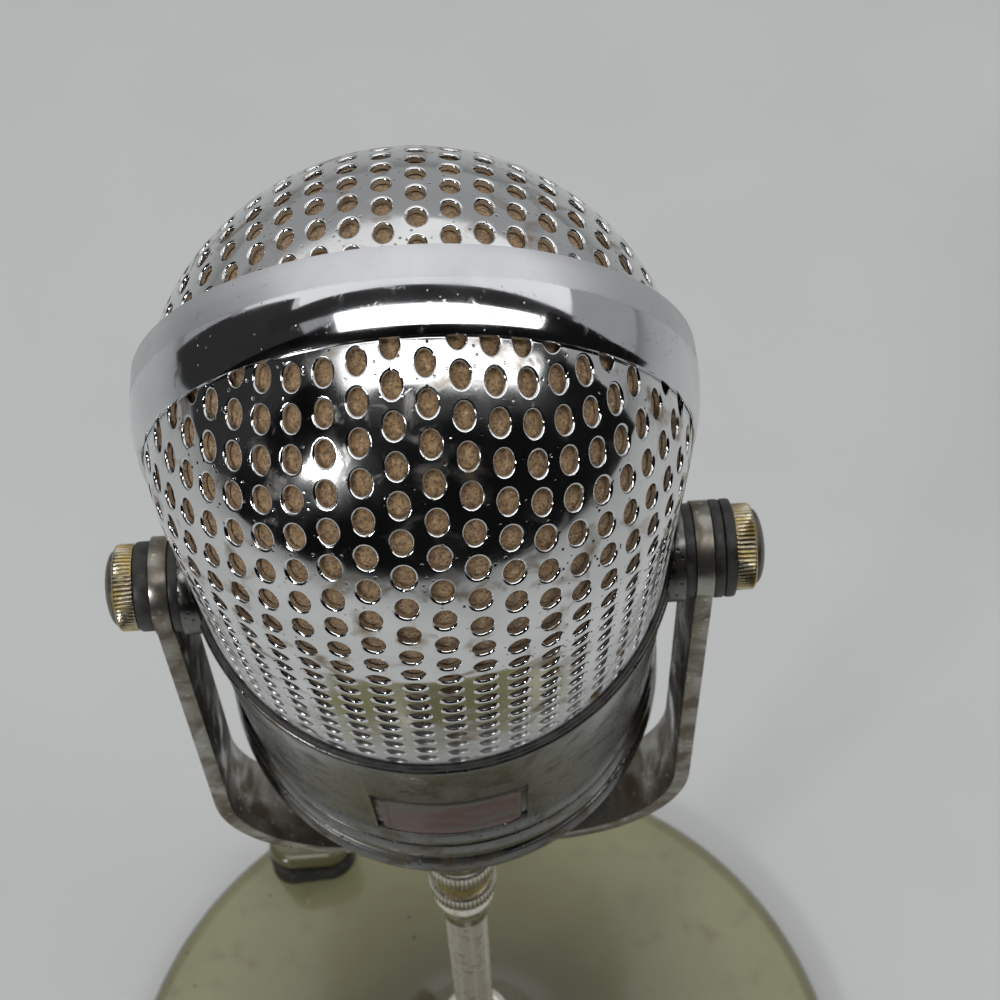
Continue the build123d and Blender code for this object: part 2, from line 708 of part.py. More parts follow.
with BuildPart() as trunnion_nuts:
    for side in (1, -1):
        with BuildSketch(side_plane(side * TRUNNION_INNER)):
            RegularPolygon(TRUNNION_SHANK + 1.8, 6)
            Circle(TRUNNION_SHANK + FIT, mode=Mode.SUBTRACT)
        extrude(amount=side * 2.4)
save(trunnion_nuts.part, "trunnion_nuts")

# ---------------------------------------------------------------- head: dynamic cartridge
baffle_bore = CARTRIDGE_RADIUS + 2.5
baffle_radius = cloth_outside - FRAME_DEPTH - FIT
baffle_low = CARTRIDGE_HEIGHT - 21
baffle_front = -1.0
baffle_thickness = 2.0
with BuildPart() as baffle:
    with BuildSketch(head_upright(baffle_front)):
        with BuildLine():
            Line((-baffle_radius, baffle_low), (baffle_radius, baffle_low))
            Line((baffle_radius, baffle_low), (baffle_radius, CROWN))
            CenterArc((0, CROWN), baffle_radius, 0, 180)
            Line((-baffle_radius, CROWN), (-baffle_radius, baffle_low))
        make_face()
        with Locations((0, CARTRIDGE_HEIGHT)):
            Circle(baffle_bore + FIT, mode=Mode.SUBTRACT)
    extrude(amount=-baffle_thickness)
save(baffle.part, "baffle")


def cartridge_face_plane(behind):
    """Plane across the cartridge at a distance behind the head's axis, facing forward."""
    spot = head_origin + head_back * behind + head_up * CARTRIDGE_HEIGHT
    return Plane(origin=spot, x_dir=(1, 0, 0), z_dir=-head_back)


cup_wall = 1.5
magnet_radius = 12.0
magnet_length = 12.0
face_back = CARTRIDGE_FRONT + 2.0   # where the perforated face meets the cup
sound_rings = ((5.0, 6), (10.0, 12), (15.0, 18))
with BuildPart() as cartridge_cup:
    with BuildSketch(cartridge_face_plane(CARTRIDGE_BACK)):
        Circle(CARTRIDGE_RADIUS)
    extrude(amount=CARTRIDGE_BACK - face_back)
    with BuildSketch(cartridge_face_plane(CARTRIDGE_BACK - cup_wall)):
        Circle(CARTRIDGE_RADIUS - cup_wall)
    extrude(amount=CARTRIDGE_BACK - CARTRIDGE_FRONT, mode=Mode.SUBTRACT)
save(cartridge_cup.part, "cartridge_cup")

with BuildPart() as magnet:
    with BuildSketch(cartridge_face_plane(CARTRIDGE_BACK - cup_wall - FIT)):
        Circle(magnet_radius)
    extrude(amount=magnet_length)
save(magnet.part, "magnet")

with BuildPart() as diaphragm:
    with BuildSketch(cartridge_face_plane(face_back + 2.0)):
        Circle(CARTRIDGE_RADIUS - cup_wall - FIT)
    extrude(amount=0.3)
save(diaphragm.part, "diaphragm")

with BuildPart() as cartridge_face:
    with BuildSketch(cartridge_face_plane(face_back - FIT)):
        Circle(CARTRIDGE_RADIUS)
        for ring_radius, holes in sound_rings:
            with PolarLocations(ring_radius, holes):
                Circle(1.5, mode=Mode.SUBTRACT)
    extrude(amount=1.6)
save(cartridge_face.part, "cartridge_face")

with BuildPart() as rubber_mount:
    with BuildSketch(cartridge_face_plane(3.0)):
        Circle(baffle_bore)
        Circle(CARTRIDGE_RADIUS + FIT, mode=Mode.SUBTRACT)
    extrude(amount=6.0)
save(rubber_mount.part, "rubber_mount")

# ---------------------------------------------------------------- head: transformer and wiring
with BuildPart() as chassis_plate:
    with BuildSketch(head_level(CHASSIS_TOP)):
        Circle(ring_inside - FIT)
    extrude(amount=-1.4)
save(chassis_plate.part, "chassis_plate")

core_height = 22.0
core_width = 26.0
core_depth = 12.0
core_leg = 6.0              # middle leg of the core, and width of its windows
window_height = 14.0
core_middle = CHASSIS_TOP + FIT + core_height / 2
core_plane = Plane(
    origin=head_origin + head_up * core_middle, x_dir=(1, 0, 0), z_dir=-head_back
)
with BuildPart() as transformer_core:
    with BuildSketch(core_plane):
        Rectangle(core_width, core_height)
        with Locations((core_leg, 0), (-core_leg, 0)):
            Rectangle(core_leg, window_height, mode=Mode.SUBTRACT)
    extrude(amount=core_depth / 2, both=True)
save(transformer_core.part, "transformer_core")

coil_height = window_height - 0.2
with BuildPart() as transformer_coil:
    with BuildSketch(head_level(core_middle - coil_height / 2)):
        RectangleRounded(3 * core_leg - 0.2, 22, 2)
        Rectangle(core_leg + 0.1, core_depth + 0.1, mode=Mode.SUBTRACT)
    extrude(amount=coil_height)
save(transformer_coil.part, "transformer_coil")

strip_behind = 17.0
strip_length = 20.0
with BuildPart() as terminal_strip:
    with BuildSketch(head_level(CHASSIS_TOP + FIT)):
        with Locations((0, strip_behind)):
            Rectangle(strip_length, 1.6)
    extrude(amount=9)
    with BuildSketch(head_level(CHASSIS_TOP + FIT + 5.0)):
        with Locations((0, strip_behind)):
            with GridLocations(strip_length / 4, 1, 4, 1):
                Rectangle(1.6, 5.0)
    extrude(amount=0.8)
save(terminal_strip.part, "terminal_strip")

outlet_plane = Plane(
    origin=head_origin + head_back * OUTLET_END + head_up * OUTLET_HEIGHT,
    x_dir=(1, 0, 0),
    z_dir=-head_back,
)
outlet_wall = 1.6
outlet_bore = OUTLET_RADIUS - outlet_wall
with BuildPart() as output_socket:
    with BuildSketch(outlet_plane):
        Circle(OUTLET_RADIUS)
        Circle(outlet_bore, mode=Mode.SUBTRACT)
    extrude(amount=OUTLET_END - COLLAR_RADIUS + 5)
    with BuildSketch(outlet_plane.offset(OUTLET_END - COLLAR_RADIUS - 1.8)):
        Circle(OUTLET_RADIUS + outlet_wall)
        Circle(outlet_bore, mode=Mode.SUBTRACT)
    extrude(amount=1.75)
save(output_socket.part, "output_socket")

with BuildPart() as socket_insert:
    with BuildSketch(outlet_plane.offset(2.0)):
        Circle(outlet_bore - FIT)
    extrude(amount=6)
    with BuildSketch(outlet_plane.offset(0.5)):
        Circle(1.6)
    extrude(amount=1.6)
save(socket_insert.part, "socket_insert")


def head_point(across, behind, height):
    """Point in the head, from its own axis."""
    return head_origin + Vector(across, 0, 0) + head_back * behind + head_up * height


lead_radius = 0.7
with BuildPart() as leads:
    for side in (1, -1):
        start = head_point(side * 5.0, CARTRIDGE_BACK + 0.9, CARTRIDGE_HEIGHT)
        middle = head_point(side * 8.0, 20.0, 0)
        end = head_point(side * 7.5, 21.5, CHASSIS_TOP + 7.2)
        with BuildLine() as path:
            Spline(start, middle, end, tangents=(head_back, -head_up))
        with BuildSketch(Plane(origin=path.line @ 0, z_dir=path.line % 0)):
            Circle(lead_radius)
        sweep(path=path.line)
save(leads.part, "leads")
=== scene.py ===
import json
import math

import bmesh
import bpy
from mathutils import Matrix, Vector, noise
from mathutils.geometry import delaunay_2d_cdt


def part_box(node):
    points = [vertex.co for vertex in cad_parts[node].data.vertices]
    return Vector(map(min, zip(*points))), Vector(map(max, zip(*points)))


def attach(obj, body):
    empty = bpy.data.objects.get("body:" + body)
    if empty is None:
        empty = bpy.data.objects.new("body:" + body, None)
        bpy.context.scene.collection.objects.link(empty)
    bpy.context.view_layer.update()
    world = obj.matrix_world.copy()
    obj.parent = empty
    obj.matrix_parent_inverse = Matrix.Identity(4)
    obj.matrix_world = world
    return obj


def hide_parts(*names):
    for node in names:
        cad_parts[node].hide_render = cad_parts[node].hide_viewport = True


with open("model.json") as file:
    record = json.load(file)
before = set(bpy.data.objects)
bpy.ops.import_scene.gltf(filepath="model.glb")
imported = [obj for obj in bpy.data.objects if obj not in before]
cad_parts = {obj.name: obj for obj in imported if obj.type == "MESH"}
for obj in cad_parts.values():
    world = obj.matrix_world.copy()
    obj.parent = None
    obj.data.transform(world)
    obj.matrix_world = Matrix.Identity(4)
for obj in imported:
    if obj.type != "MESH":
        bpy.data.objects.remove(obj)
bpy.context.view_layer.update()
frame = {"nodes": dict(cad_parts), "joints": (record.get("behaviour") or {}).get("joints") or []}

# ---------------------------------------------------------------- sizes (mm, degrees)
MM = 0.001
HEAD_TILT = 12.0            # forward lean of the head at rest
AXIS_OFFSET = 4.4           # the head's own axis stands behind the tilt axis
GRILLE_RADIUS = 32.7
GRILLE_WALL = 0.8
GRILLE_FOOT = 2.0           # lower edge of the grilles, in the head's own frame
CROWN = 40.5                # centre of the round crown
COLUMN = 4.1                # spacing of the columns of holes
PITCH = 4.26                # spacing of the holes in a column
FIRST_HOLE = 3.9
HOLE_WIDE = 1.34            # half width and half height of a hole
HOLE_TALL = 1.46
HOLE_POINTS = 20
GATHER = 0.16               # how much closer the columns stand at the top of the crown
SLIM = 0.33                 # how much narrower the holes are there
LIP = 0.34                  # rolled edge of a hole
CLOTH_RADIUS = 31.8
CLOTH_WALL = 1.0
TRUNNION_HOLE = 4.5
BAND_RADIUS = 34.0
BAND_CREST = 2.0            # ridge of the band, behind the head's axis
BAND_SCREW = (4.0, 13.0)    # its distance behind the head's axis, and its height
KNOB_BAND = 2.8             # width of the knurled band of a thumb screw
KNOB_DOME = 1.6
COLLAR_RADIUS = 33.3
BADGE_WIDE = 21.6
BADGE_LOW = -40.5
BADGE_HIGH = -18.7
THREAD_DEPTH = 0.3
STEM_RADIUS = 3.95
KNURL_DEPTH = 0.22
THREAD_PITCH = 1.5
BUTTON_TRAVEL = 2.5
SCREW_ROOM = 2.9            # half the gap left in a ring for a thumb screw
GAP = 0.05                  # running clearance between moving parts
SHARP_ANGLE = math.radians(38)
SIDE_EDGE = math.radians(89)        # the guards' edges, just short of the band's middle
TOP_EDGE = math.radians(89.3)

FRONT, REAR = -1, 1
joints = {joint["name"]: joint for joint in frame["joints"]}
pivot = Vector(joints["head_tilt"]["pos_m"]) / MM
lean = math.radians(HEAD_TILT)
head_up = Vector((0, -math.sin(lean), math.cos(lean)))
head_back = Vector((0, math.cos(lean), math.sin(lean)))
head_origin = pivot + head_back * AXIS_OFFSET
HEAD = Matrix.Translation(head_origin) @ Matrix.Rotation(lean, 4, "X")
UPRIGHT = Matrix.Identity(4)
TO_METRES = Matrix.Scale(MM, 4)


# ---------------------------------------------------------------- node helpers
def add_node(tree, kind, inputs=None, **settings):
    """One shader node; its inputs are values or other nodes' outputs."""
    made = tree.nodes.new(kind)
    for key, value in settings.items():
        setattr(made, key, value)
    for key, value in (inputs or {}).items():
        if isinstance(value, bpy.types.NodeSocket):
            tree.links.new(value, made.inputs[key])
        else:
            made.inputs[key].default_value = value
    return made


def new_material(name):
    """Empty node material, with its tree and its surface shader."""
    material = bpy.data.materials.new(name)
    material.use_nodes = True
    tree = material.node_tree
    return material, tree, tree.nodes["Principled BSDF"]


def place_of(tree, stretch=(1, 1, 1)):
    """Texture coordinates in metres that stay with the piece, stretched along the axes."""
    spot = add_node(tree, "ShaderNodeTexCoord").outputs["Object"]
    return add_node(tree, "ShaderNodeMapping", {"Vector": spot, "Scale": stretch}).outputs["Vector"]


def rise(tree, value, start, end):
    """Mask that rises from 0 to 1 as a value goes from start to end."""
    limits = {"Value": value, "From Min": start, "From Max": end}
    return add_node(tree, "ShaderNodeMapRange", limits).outputs["Result"]


def blotches(tree, size, low, high, detail=4.0, stretch=(1, 1, 1), warp=0.0):
    """Mask from 0 to 1 with patches about size mm wide; low and high set how much is covered."""
    pattern = add_node(
        tree,
        "ShaderNodeTexNoise",
        {"Vector": place_of(tree, stretch), "Scale": 1 / (size * MM), "Detail": detail, "Distortion": warp},
    )
    return rise(tree, pattern.outputs["Fac"], low, high)


def specks(tree, size, reach):
    """Mask of small round specks about size mm apart; reach is their share of that distance."""
    inputs = {"Vector": place_of(tree), "Scale": 1 / (size * MM), "Randomness": 1.0}
    cells = add_node(tree, "ShaderNodeTexVoronoi", inputs)
    return rise(tree, cells.outputs["Distance"], reach, reach * 0.5)


def times(tree, first, second):
    """Product of two masks."""
    return add_node(tree, "ShaderNodeMath", {0: first, 1: second}, operation="MULTIPLY").outputs[0]


def plus(tree, first, second):
    """Sum of two numbers."""
    return add_node(tree, "ShaderNodeMath", {0: first, 1: second}, operation="ADD").outputs[0]


def between(tree, mask, first, second):
    """Number that runs from first to second as the mask rises."""
    limits = {"Value": mask, "To Min": first, "To Max": second}
    return add_node(tree, "ShaderNodeMapRange", limits).outputs["Result"]


def tint(tree, mask, first, second):
    """Colour that runs from first to second as the mask rises; each is a colour or an output."""
    mixer = add_node(tree, "ShaderNodeMix", data_type="RGBA")
    for socket, value in ((mixer.inputs[0], mask), (mixer.inputs[6], first), (mixer.inputs[7], second)):
        if isinstance(value, bpy.types.NodeSocket):
            tree.links.new(value, socket)
        else:
            socket.default_value = value if isinstance(value, float) else (*value, 1.0)
    return mixer.outputs[2]


def relief(tree, height, depth, under=None):
    """Bump of a given depth in mm, over another bump."""
    inputs = {"Height": height, "Strength": 1.0, "Distance": depth * MM}
    if under is not None:
        inputs["Normal"] = under
    return add_node(tree, "ShaderNodeBump", inputs).outputs["Normal"]


def set_surface(tree, shader, color, rough, normal, metallic=0.0, **more):
    """Connect the usual inputs of a surface shader."""
    values = {"Base Color": color, "Roughness": rough, "Normal": normal, "Metallic": metallic, **more}
    for key, value in values.items():
        if isinstance(value, bpy.types.NodeSocket):
            tree.links.new(value, shader.inputs[key])
        elif isinstance(value, tuple):
            shader.inputs[key].default_value = (*value, 1.0)
        else:
            shader.inputs[key].default_value = value


# ---------------------------------------------------------------- materials
def plated(name, clean, stain, shine=(0.05, 0.2), staining=(0.56, 0.72), pits=0.2, waves=0.05, haze=None):
    """Old plating: mirror metal with waves, scratches, stained patches and pits down to the base metal.
    haze makes the mask, from 0 to 1, of where the shine is worn off."""
    material, tree, shader = new_material(name)
    film = blotches(tree, 9.0, 0.4, 0.7, detail=6.0)
    stained = blotches(tree, 4.5, *staining, detail=9.0, warp=0.6)
    pitted = times(tree, specks(tree, 1.1, pits), blotches(tree, 11.0, 0.42, 0.6))
    scratched = blotches(tree, 1.4, 0.62, 0.74, detail=3.0, stretch=(1, 1, 0.08), warp=0.4)
    color = tint(tree, film, clean, tuple(0.86 * part for part in clean))
    color = tint(tree, stained, color, stain)
    color = tint(tree, pitted, color, (0.035, 0.028, 0.02))
    rough = between(tree, film, *shine)
    rough = plus(tree, rough, times(tree, stained, 0.3))
    rough = plus(tree, rough, times(tree, scratched, 0.12))
    if haze:
        rough = plus(tree, rough, times(tree, haze(tree), 0.34))
    normal = relief(tree, blotches(tree, 13.0, 0.0, 1.0, detail=2.0), waves)
    normal = relief(tree, pitted, -0.05, normal)
    normal = relief(tree, scratched, 0.004, normal)
    set_surface(tree, shader, color, rough, normal, metallic=1.0)
    return material


def head_mask(tree, axis, start, end):
    """Mask that rises from 0 to 1 between two distances, in mm, from the head's origin along an axis."""
    spot = add_node(tree, "ShaderNodeTexCoord").outputs["Object"]
    inputs = {0: spot, 1: tuple(head_origin * MM)}
    offset = add_node(tree, "ShaderNodeVectorMath", inputs, operation="SUBTRACT").outputs["Vector"]
    reach = add_node(tree, "ShaderNodeVectorMath", {0: offset, 1: tuple(axis)}, operation="DOT_PRODUCT")
    return rise(tree, reach.outputs["Value"], start * MM, end * MM)


def low_wall(tree):
    """Foot of the guard, dulled by handling."""
    return head_mask(tree, head_up, 30.0, 4.0)


def outer_face(tree):
    """Flat outside of the band, behind its ridge."""
    return head_mask(tree, head_back, BAND_CREST - 0.1, BAND_CREST + 0.3)


def worn_and_highlighted_metal(name, groove, pale, deep, covered=(0.38, 0.62)):
    """Knurled or threaded metal, darker in its grooves from dirt and painted shade and paler on its crests
    from wear and painted highlight; the attribute it reads is 1 on the crests.
    """
    material, tree, shader = new_material(name)
    crest = add_node(tree, "ShaderNodeAttribute", attribute_name="wear_and_highlight").outputs["Fac"]
    patches = blotches(tree, 2.2, *covered, detail=6.0)
    # Painted shade in the grooves and painted highlight on the crests, on top of dirt and wear.
    color = tint(tree, crest, groove, tint(tree, patches, pale, deep))
    rough = between(tree, patches, 0.22, 0.42)
    normal = relief(tree, blotches(tree, 0.5, 0.3, 0.7), 0.02)
    set_surface(tree, shader, color, rough, normal, metallic=1.0)
    return material


def tarnished_strip():
    """Nickelled strip gone brown and grey, with crusty spots."""
    material, tree, shader = new_material("nickel_tarnished")
    brown = blotches(tree, 7.0, 0.38, 0.6, detail=8.0, warp=0.8)
    crust = times(tree, specks(tree, 1.5, 0.3), blotches(tree, 6.0, 0.45, 0.6))
    color = tint(tree, brown, (0.33, 0.32, 0.29), (0.15, 0.12, 0.085))
    color = tint(tree, crust, color, (0.5, 0.45, 0.36))
    rough = between(tree, brown, 0.2, 0.5)
    normal = relief(tree, brown, 0.02)
    normal = relief(tree, crust, 0.06, normal)
    set_surface(tree, shader, color, rough, normal, metallic=0.9)
    return material


def dark_cap_metal():
    """Blackened end of the thumb screws."""
    material, tree, shader = new_material("patina_dark")
    rubbed = blotches(tree, 2.5, 0.45, 0.7, detail=7.0)
    color = tint(tree, rubbed, (0.085, 0.08, 0.06), (0.21, 0.19, 0.14))
    normal = relief(tree, rubbed, 0.02)
    set_surface(tree, shader, color, between(tree, rubbed, 0.35, 0.55), normal, metallic=0.75)
    return material


def dark_rubber():
    """Black rubber, dusty and slightly cracked."""
    material, tree, shader = new_material("dark_rubber")
    dust = blotches(tree, 3.0, 0.45, 0.75, detail=7.0)
    cracks = blotches(tree, 0.6, 0.55, 0.7, detail=5.0, warp=1.5)
    color = tint(tree, dust, (0.016, 0.016, 0.015), (0.06, 0.058, 0.05))
    normal = relief(tree, cracks, 0.03)
    set_surface(tree, shader, color, between(tree, dust, 0.38, 0.7), normal)
    return material


def olive_paint(name, fresh, faded):
    """Glossy olive enamel: slight orange peel, painted shade turning it dark brown towards the stem and
    darker along the rim, rubbed spots and dust.
    """
    material, tree, shader = new_material(name)
    spot = add_node(tree, "ShaderNodeTexCoord").outputs["Object"]
    axes = add_node(tree, "ShaderNodeSeparateXYZ", {"Vector": spot})
    flat = add_node(tree, "ShaderNodeCombineXYZ", {"X": axes.outputs["X"], "Y": axes.outputs["Y"]})
    away = add_node(tree, "ShaderNodeVectorMath", {0: flat.outputs[0]}, operation="LENGTH").outputs["Value"]
    # Masks of painted shade: towards the stem's foot, and in a band along the rim.
    foot = rise(tree, away, 74 * MM, 8 * MM)
    rim = rise(tree, away, 82 * MM, 86.3 * MM)
    clouds = blotches(tree, 30.0, 0.3, 0.7, detail=5.0)
    grime = blotches(tree, 6.0, 0.55, 0.75, detail=8.0)
    chips = times(tree, specks(tree, 7.0, 0.1), blotches(tree, 20.0, 0.5, 0.6))
    color = tint(tree, clouds, fresh, faded)
    # Painted shade: dark brown towards the stem.
    color = tint(tree, foot, color, (0.045, 0.036, 0.018))
    color = tint(tree, times(tree, grime, 0.35), color, (0.12, 0.10, 0.05))
    # Painted shade: darker band along the rim.
    color = tint(tree, times(tree, rim, 0.8), color, (0.075, 0.07, 0.04))
    color = tint(tree, chips, color, (0.05, 0.045, 0.035))
    normal = relief(tree, blotches(tree, 1.8, 0.2, 0.8, detail=2.0), 0.012)
    normal = relief(tree, chips, -0.05, normal)
    rough = between(tree, grime, 0.2, 0.42)
    set_surface(tree, shader, color, rough, normal, **{"Coat Weight": 0.5, "Coat Roughness": 0.12})
    return material


def tan_cloth():
    """Coarse tan felt: mottled fibres with dark and light grains, and painted shade that darkens it below
    the crown.
    """
    material, tree, shader = new_material("tan_cloth")
    tufts = blotches(tree, 0.9, 0.3, 0.7, detail=8.0, warp=0.5)
    grains = blotches(tree, 0.32, 0.52, 0.66, detail=3.0)
    pale = blotches(tree, 0.45, 0.6, 0.72, detail=3.0, warp=1.0)
    color = tint(tree, tufts, (0.22, 0.125, 0.055), (0.42, 0.27, 0.13))
    color = tint(tree, times(tree, grains, 0.8), color, (0.13, 0.07, 0.03))
    color = tint(tree, times(tree, pale, 0.7), color, (0.62, 0.46, 0.28))
    # Painted shade: nearly black felt below the crown.
    painted_cloth_shade = times(tree, head_mask(tree, head_up, 37.0, 25.0), 0.88)
    color = tint(tree, painted_cloth_shade, color, (0.035, 0.027, 0.016))
    normal = relief(tree, tufts, 0.25)
    normal = relief(tree, grains, -0.12, normal)
    set_surface(tree, shader, color, 0.95, normal, **{"Sheen Weight": 0.25, "Sheen Roughness": 0.6})
    return material


def badge_face():
    """Faded pink enamel, rubbed through to grey metal, with a painted shadow along its top where the
    recess's edge shades it.
    """
    material, tree, shader = new_material("badge_face")
    rubbed = blotches(tree, 3.5, 0.42, 0.6, detail=8.0, stretch=(0.5, 1, 1), warp=0.6)
    stain = blotches(tree, 1.2, 0.55, 0.7, detail=6.0)
    color = tint(tree, rubbed, (0.115, 0.05, 0.056), (0.105, 0.095, 0.08))
    color = tint(tree, times(tree, stain, 0.6), color, (0.10, 0.07, 0.055))
    # Painted shadow: near black strip along the top of the plate.
    shaded = head_mask(tree, head_up, BADGE_HIGH - 3.4, BADGE_HIGH - 2.6)
    color = tint(tree, shaded, color, (0.006, 0.005, 0.005))
    normal = relief(tree, rubbed, 0.03)
    set_surface(tree, shader, color, between(tree, rubbed, 0.35, 0.55), normal, metallic=0.2)
    return material


def dull(name, dark, light, size, rough, depth, metallic=0.0):
    """Plain workshop finish: two close tones in grains of about size mm."""
    material, tree, shader = new_material(name)
    grain = blotches(tree, size, 0.3, 0.7, detail=7.0)
    patches = blotches(tree, size * 9, 0.4, 0.65, detail=4.0)
    color = tint(tree, grain, dark, light)
    color = tint(tree, times(tree, patches, 0.5), color, tuple(0.6 * part for part in dark))
    normal = relief(tree, grain, depth)
    set_surface(tree, shader, color, between(tree, patches, rough, rough + 0.15), normal, metallic=metallic)
    return material


def make_materials():
    """One material for each slot of the record, and the extra ones of the new pieces."""
    chrome = (0.78, 0.78, 0.78)
    brown = (0.30, 0.24, 0.17)
    return {
        "chrome_bright": plated("chrome_bright", chrome, brown, waves=0.09, haze=low_wall),
        "chrome_clean": plated(
            "chrome_clean", (0.74, 0.75, 0.77), brown, (0.05, 0.12), (0.68, 0.85), 0.1, 0.04, outer_face
        ),
        "chrome_satin": plated(
            "chrome_satin", (0.165, 0.168, 0.158), (0.14, 0.11, 0.075), (0.22, 0.36), (0.5, 0.7), 0.26
        ),
        "nickel_warm": plated(
            "nickel_warm", (0.75, 0.72, 0.64), (0.33, 0.24, 0.13), (0.08, 0.22), (0.5, 0.7)
        ),
        # Groove colours stand for dirt and painted shade, crest colours for wear and painted highlight.
        "brass_worn": worn_and_highlighted_metal(
            "brass_worn", (0.10, 0.075, 0.035), (0.78, 0.74, 0.64), (0.74, 0.56, 0.22)
        ),
        "nickel_ridged": worn_and_highlighted_metal(
            "nickel_ridged", (0.13, 0.10, 0.06), (0.86, 0.83, 0.74), (0.62, 0.52, 0.34), (0.5, 0.75)
        ),
        "brass_dark": dull("brass_dark", (0.16, 0.12, 0.035), (0.34, 0.26, 0.08), 2.0, 0.2, 0.01, 1.0),
        "nickel_tarnished": tarnished_strip(),
        "patina_dark": dark_cap_metal(),
        "olive_paint": olive_paint("olive_paint", (0.21, 0.205, 0.105), (0.255, 0.25, 0.135)),
        "olive_grimy": olive_paint("olive_grimy", (0.085, 0.082, 0.036), (0.13, 0.125, 0.06)),
        "dark_rubber": dark_rubber(),
        "tan_cloth": tan_cloth(),
        "badge_face": badge_face(),
        "steel_plain": dull("steel_plain", (0.30, 0.29, 0.27), (0.42, 0.41, 0.39), 0.8, 0.35, 0.01, 0.9),
        "black_felt": dull("black_felt", (0.012, 0.012, 0.011), (0.05, 0.048, 0.045), 0.5, 0.85, 0.2),
        "phenolic": dull("phenolic", (0.10, 0.045, 0.02), (0.16, 0.08, 0.035), 1.5, 0.35, 0.01),
        "winding": dull("winding", (0.35, 0.24, 0.10), (0.48, 0.34, 0.15), 2.0, 0.55, 0.03),
        "wire_cover": dull("wire_cover", (0.25, 0.05, 0.03), (0.34, 0.08, 0.05), 0.6, 0.6, 0.03),
        "foil": dull("foil", (0.55, 0.54, 0.50), (0.68, 0.67, 0.62), 1.2, 0.25, 0.02, 1.0),
        "magnet_iron": dull("magnet_iron", (0.09, 0.09, 0.095), (0.16, 0.16, 0.165), 1.0, 0.5, 0.03, 0.7),
    }


materials = make_materials()


# ---------------------------------------------------------------- mesh helpers
def add_piece(name, points, faces, finish, body, place=UPRIGHT, replaces=(), wear_and_highlight=None, normals=None):
    """Mesh piece from points in mm, in the frame given by place, riding on a body."""
    mesh = bpy.data.meshes.new(name)
    mesh.from_pydata([TO_METRES @ (place @ Vector(point)) for point in points], [], faces)
    mesh.validate()
    if normals is None:
        tidy = bmesh.new()
        tidy.from_mesh(mesh)
        bmesh.ops.recalc_face_normals(tidy, faces=tidy.faces)
        tidy.to_mesh(mesh)
        tidy.free()
    if wear_and_highlight is not None:
        mesh.attributes.new("wear_and_highlight", "FLOAT", "POINT").data.foreach_set("value", wear_and_highlight)
    return dress(name, mesh, finish, body, replaces, place, normals)


def dress(name, mesh, finish, body, replaces=(), place=UPRIGHT, normals=None):
    """Turn a finished mesh into a smooth-shaded piece with its material and its body."""
    piece = bpy.data.objects.new(name, mesh)
    bpy.context.scene.collection.objects.link(piece)
    mesh.materials.append(materials[finish])
    mesh.shade_smooth()
    if normals is None:
        mesh.set_sharp_from_angle(angle=SHARP_ANGLE)
    else:
        turn = place.to_3x3()
        mesh.normals_split_custom_set_from_vertices([turn @ normal for normal in normals])
    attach(piece, body)
    if replaces:
        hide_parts(*replaces)
    return piece


def arc(middle, radius, start, end, steps):
    """Points of an arc, as (radius, height) pairs of a turned outline."""
    turns = (math.radians(start + (end - start) * step / steps) for step in range(steps + 1))
    return [(middle[0] + radius * math.cos(turn), middle[1] + radius * math.sin(turn)) for turn in turns]


def turned(outline, segments, shape=None):
    """Closed solid of revolution about local Z. An outline row is (radius, height) or (radius, height,
    ridged); shape(turn, height) is how far a ridged row stands in, in mm. Gives points, faces and, for each
    point, its share of wear and painted highlight, which is 1 on the crests."""
    points, wear_and_highlight, rings = [], [], []
    for row in outline:
        radius, height, ridged = (*row, False)[:3]
        if radius < 1e-6:
            rings.append([len(points)])
            points.append((0, 0, height))
            wear_and_highlight.append(1.0)
            continue
        rings.append([len(points) + step for step in range(segments)])
        for step in range(segments):
            turn = math.tau * step / segments
            inset = shape(turn, height) if ridged else 0.0
            points.append(((radius - inset) * math.cos(turn), (radius - inset) * math.sin(turn), height))
            wear_and_highlight.append(1.0 - inset / KNURL_DEPTH if ridged else 0.85)
    faces = []
    loop = rings if len(rings[0]) == len(rings[-1]) == 1 else rings + rings[:1]
    for low, high in zip(loop, loop[1:]):
        for step in range(segments):
            after = (step + 1) % segments
            if len(low) == len(high):
                faces.append((low[step], low[after], high[after], high[step]))
            elif len(low) == 1:
                faces.append((low[0], high[after], high[step]))
            else:
                faces.append((low[step], low[after], high[0]))
    return points, faces, wear_and_highlight


def ridges(count, depth):
    """Straight knurl of pointed ridges, the same at every height."""
    def inset(turn, _):
        share = turn * count / math.tau % 1.0
        return depth * abs(2 * share - 1)
    return inset


def thread(pitch, depth):
    """Right-hand thread."""
    def inset(turn, height):
        share = (height / pitch - turn / math.tau) % 1.0
        return depth * abs(2 * share - 1)
    return inset


def finished_copy(node, body, finish, edge):
    """Piece made from a CAD node's own mesh, welded, with its sharp edges rounded by edge mm."""
    work = bmesh.new()
    work.from_mesh(frame["nodes"][node].data)
    bmesh.ops.remove_doubles(work, verts=work.verts, dist=2e-6)
    bmesh.ops.dissolve_limit(
        work, angle_limit=math.radians(0.5), verts=work.verts, edges=work.edges, delimit={"NORMAL"}
    )
    sharp = [e for e in work.edges if e.is_manifold and e.calc_face_angle() > math.radians(32)]
    bmesh.ops.bevel(
        work, geom=sharp, offset=edge * MM, offset_type="OFFSET", segments=2, profile=0.5,
        affect="EDGES", clamp_overlap=True,
    )
    mesh = bpy.data.meshes.new(node + "_finished")
    work.to_mesh(mesh)
    work.free()
    for name in ("custom_normal", "sharp_edge", "sharp_face"):
        if name in mesh.attributes:
            mesh.attributes.remove(mesh.attributes[name])
    return dress(node + "_finished", mesh, finish, body, [node])


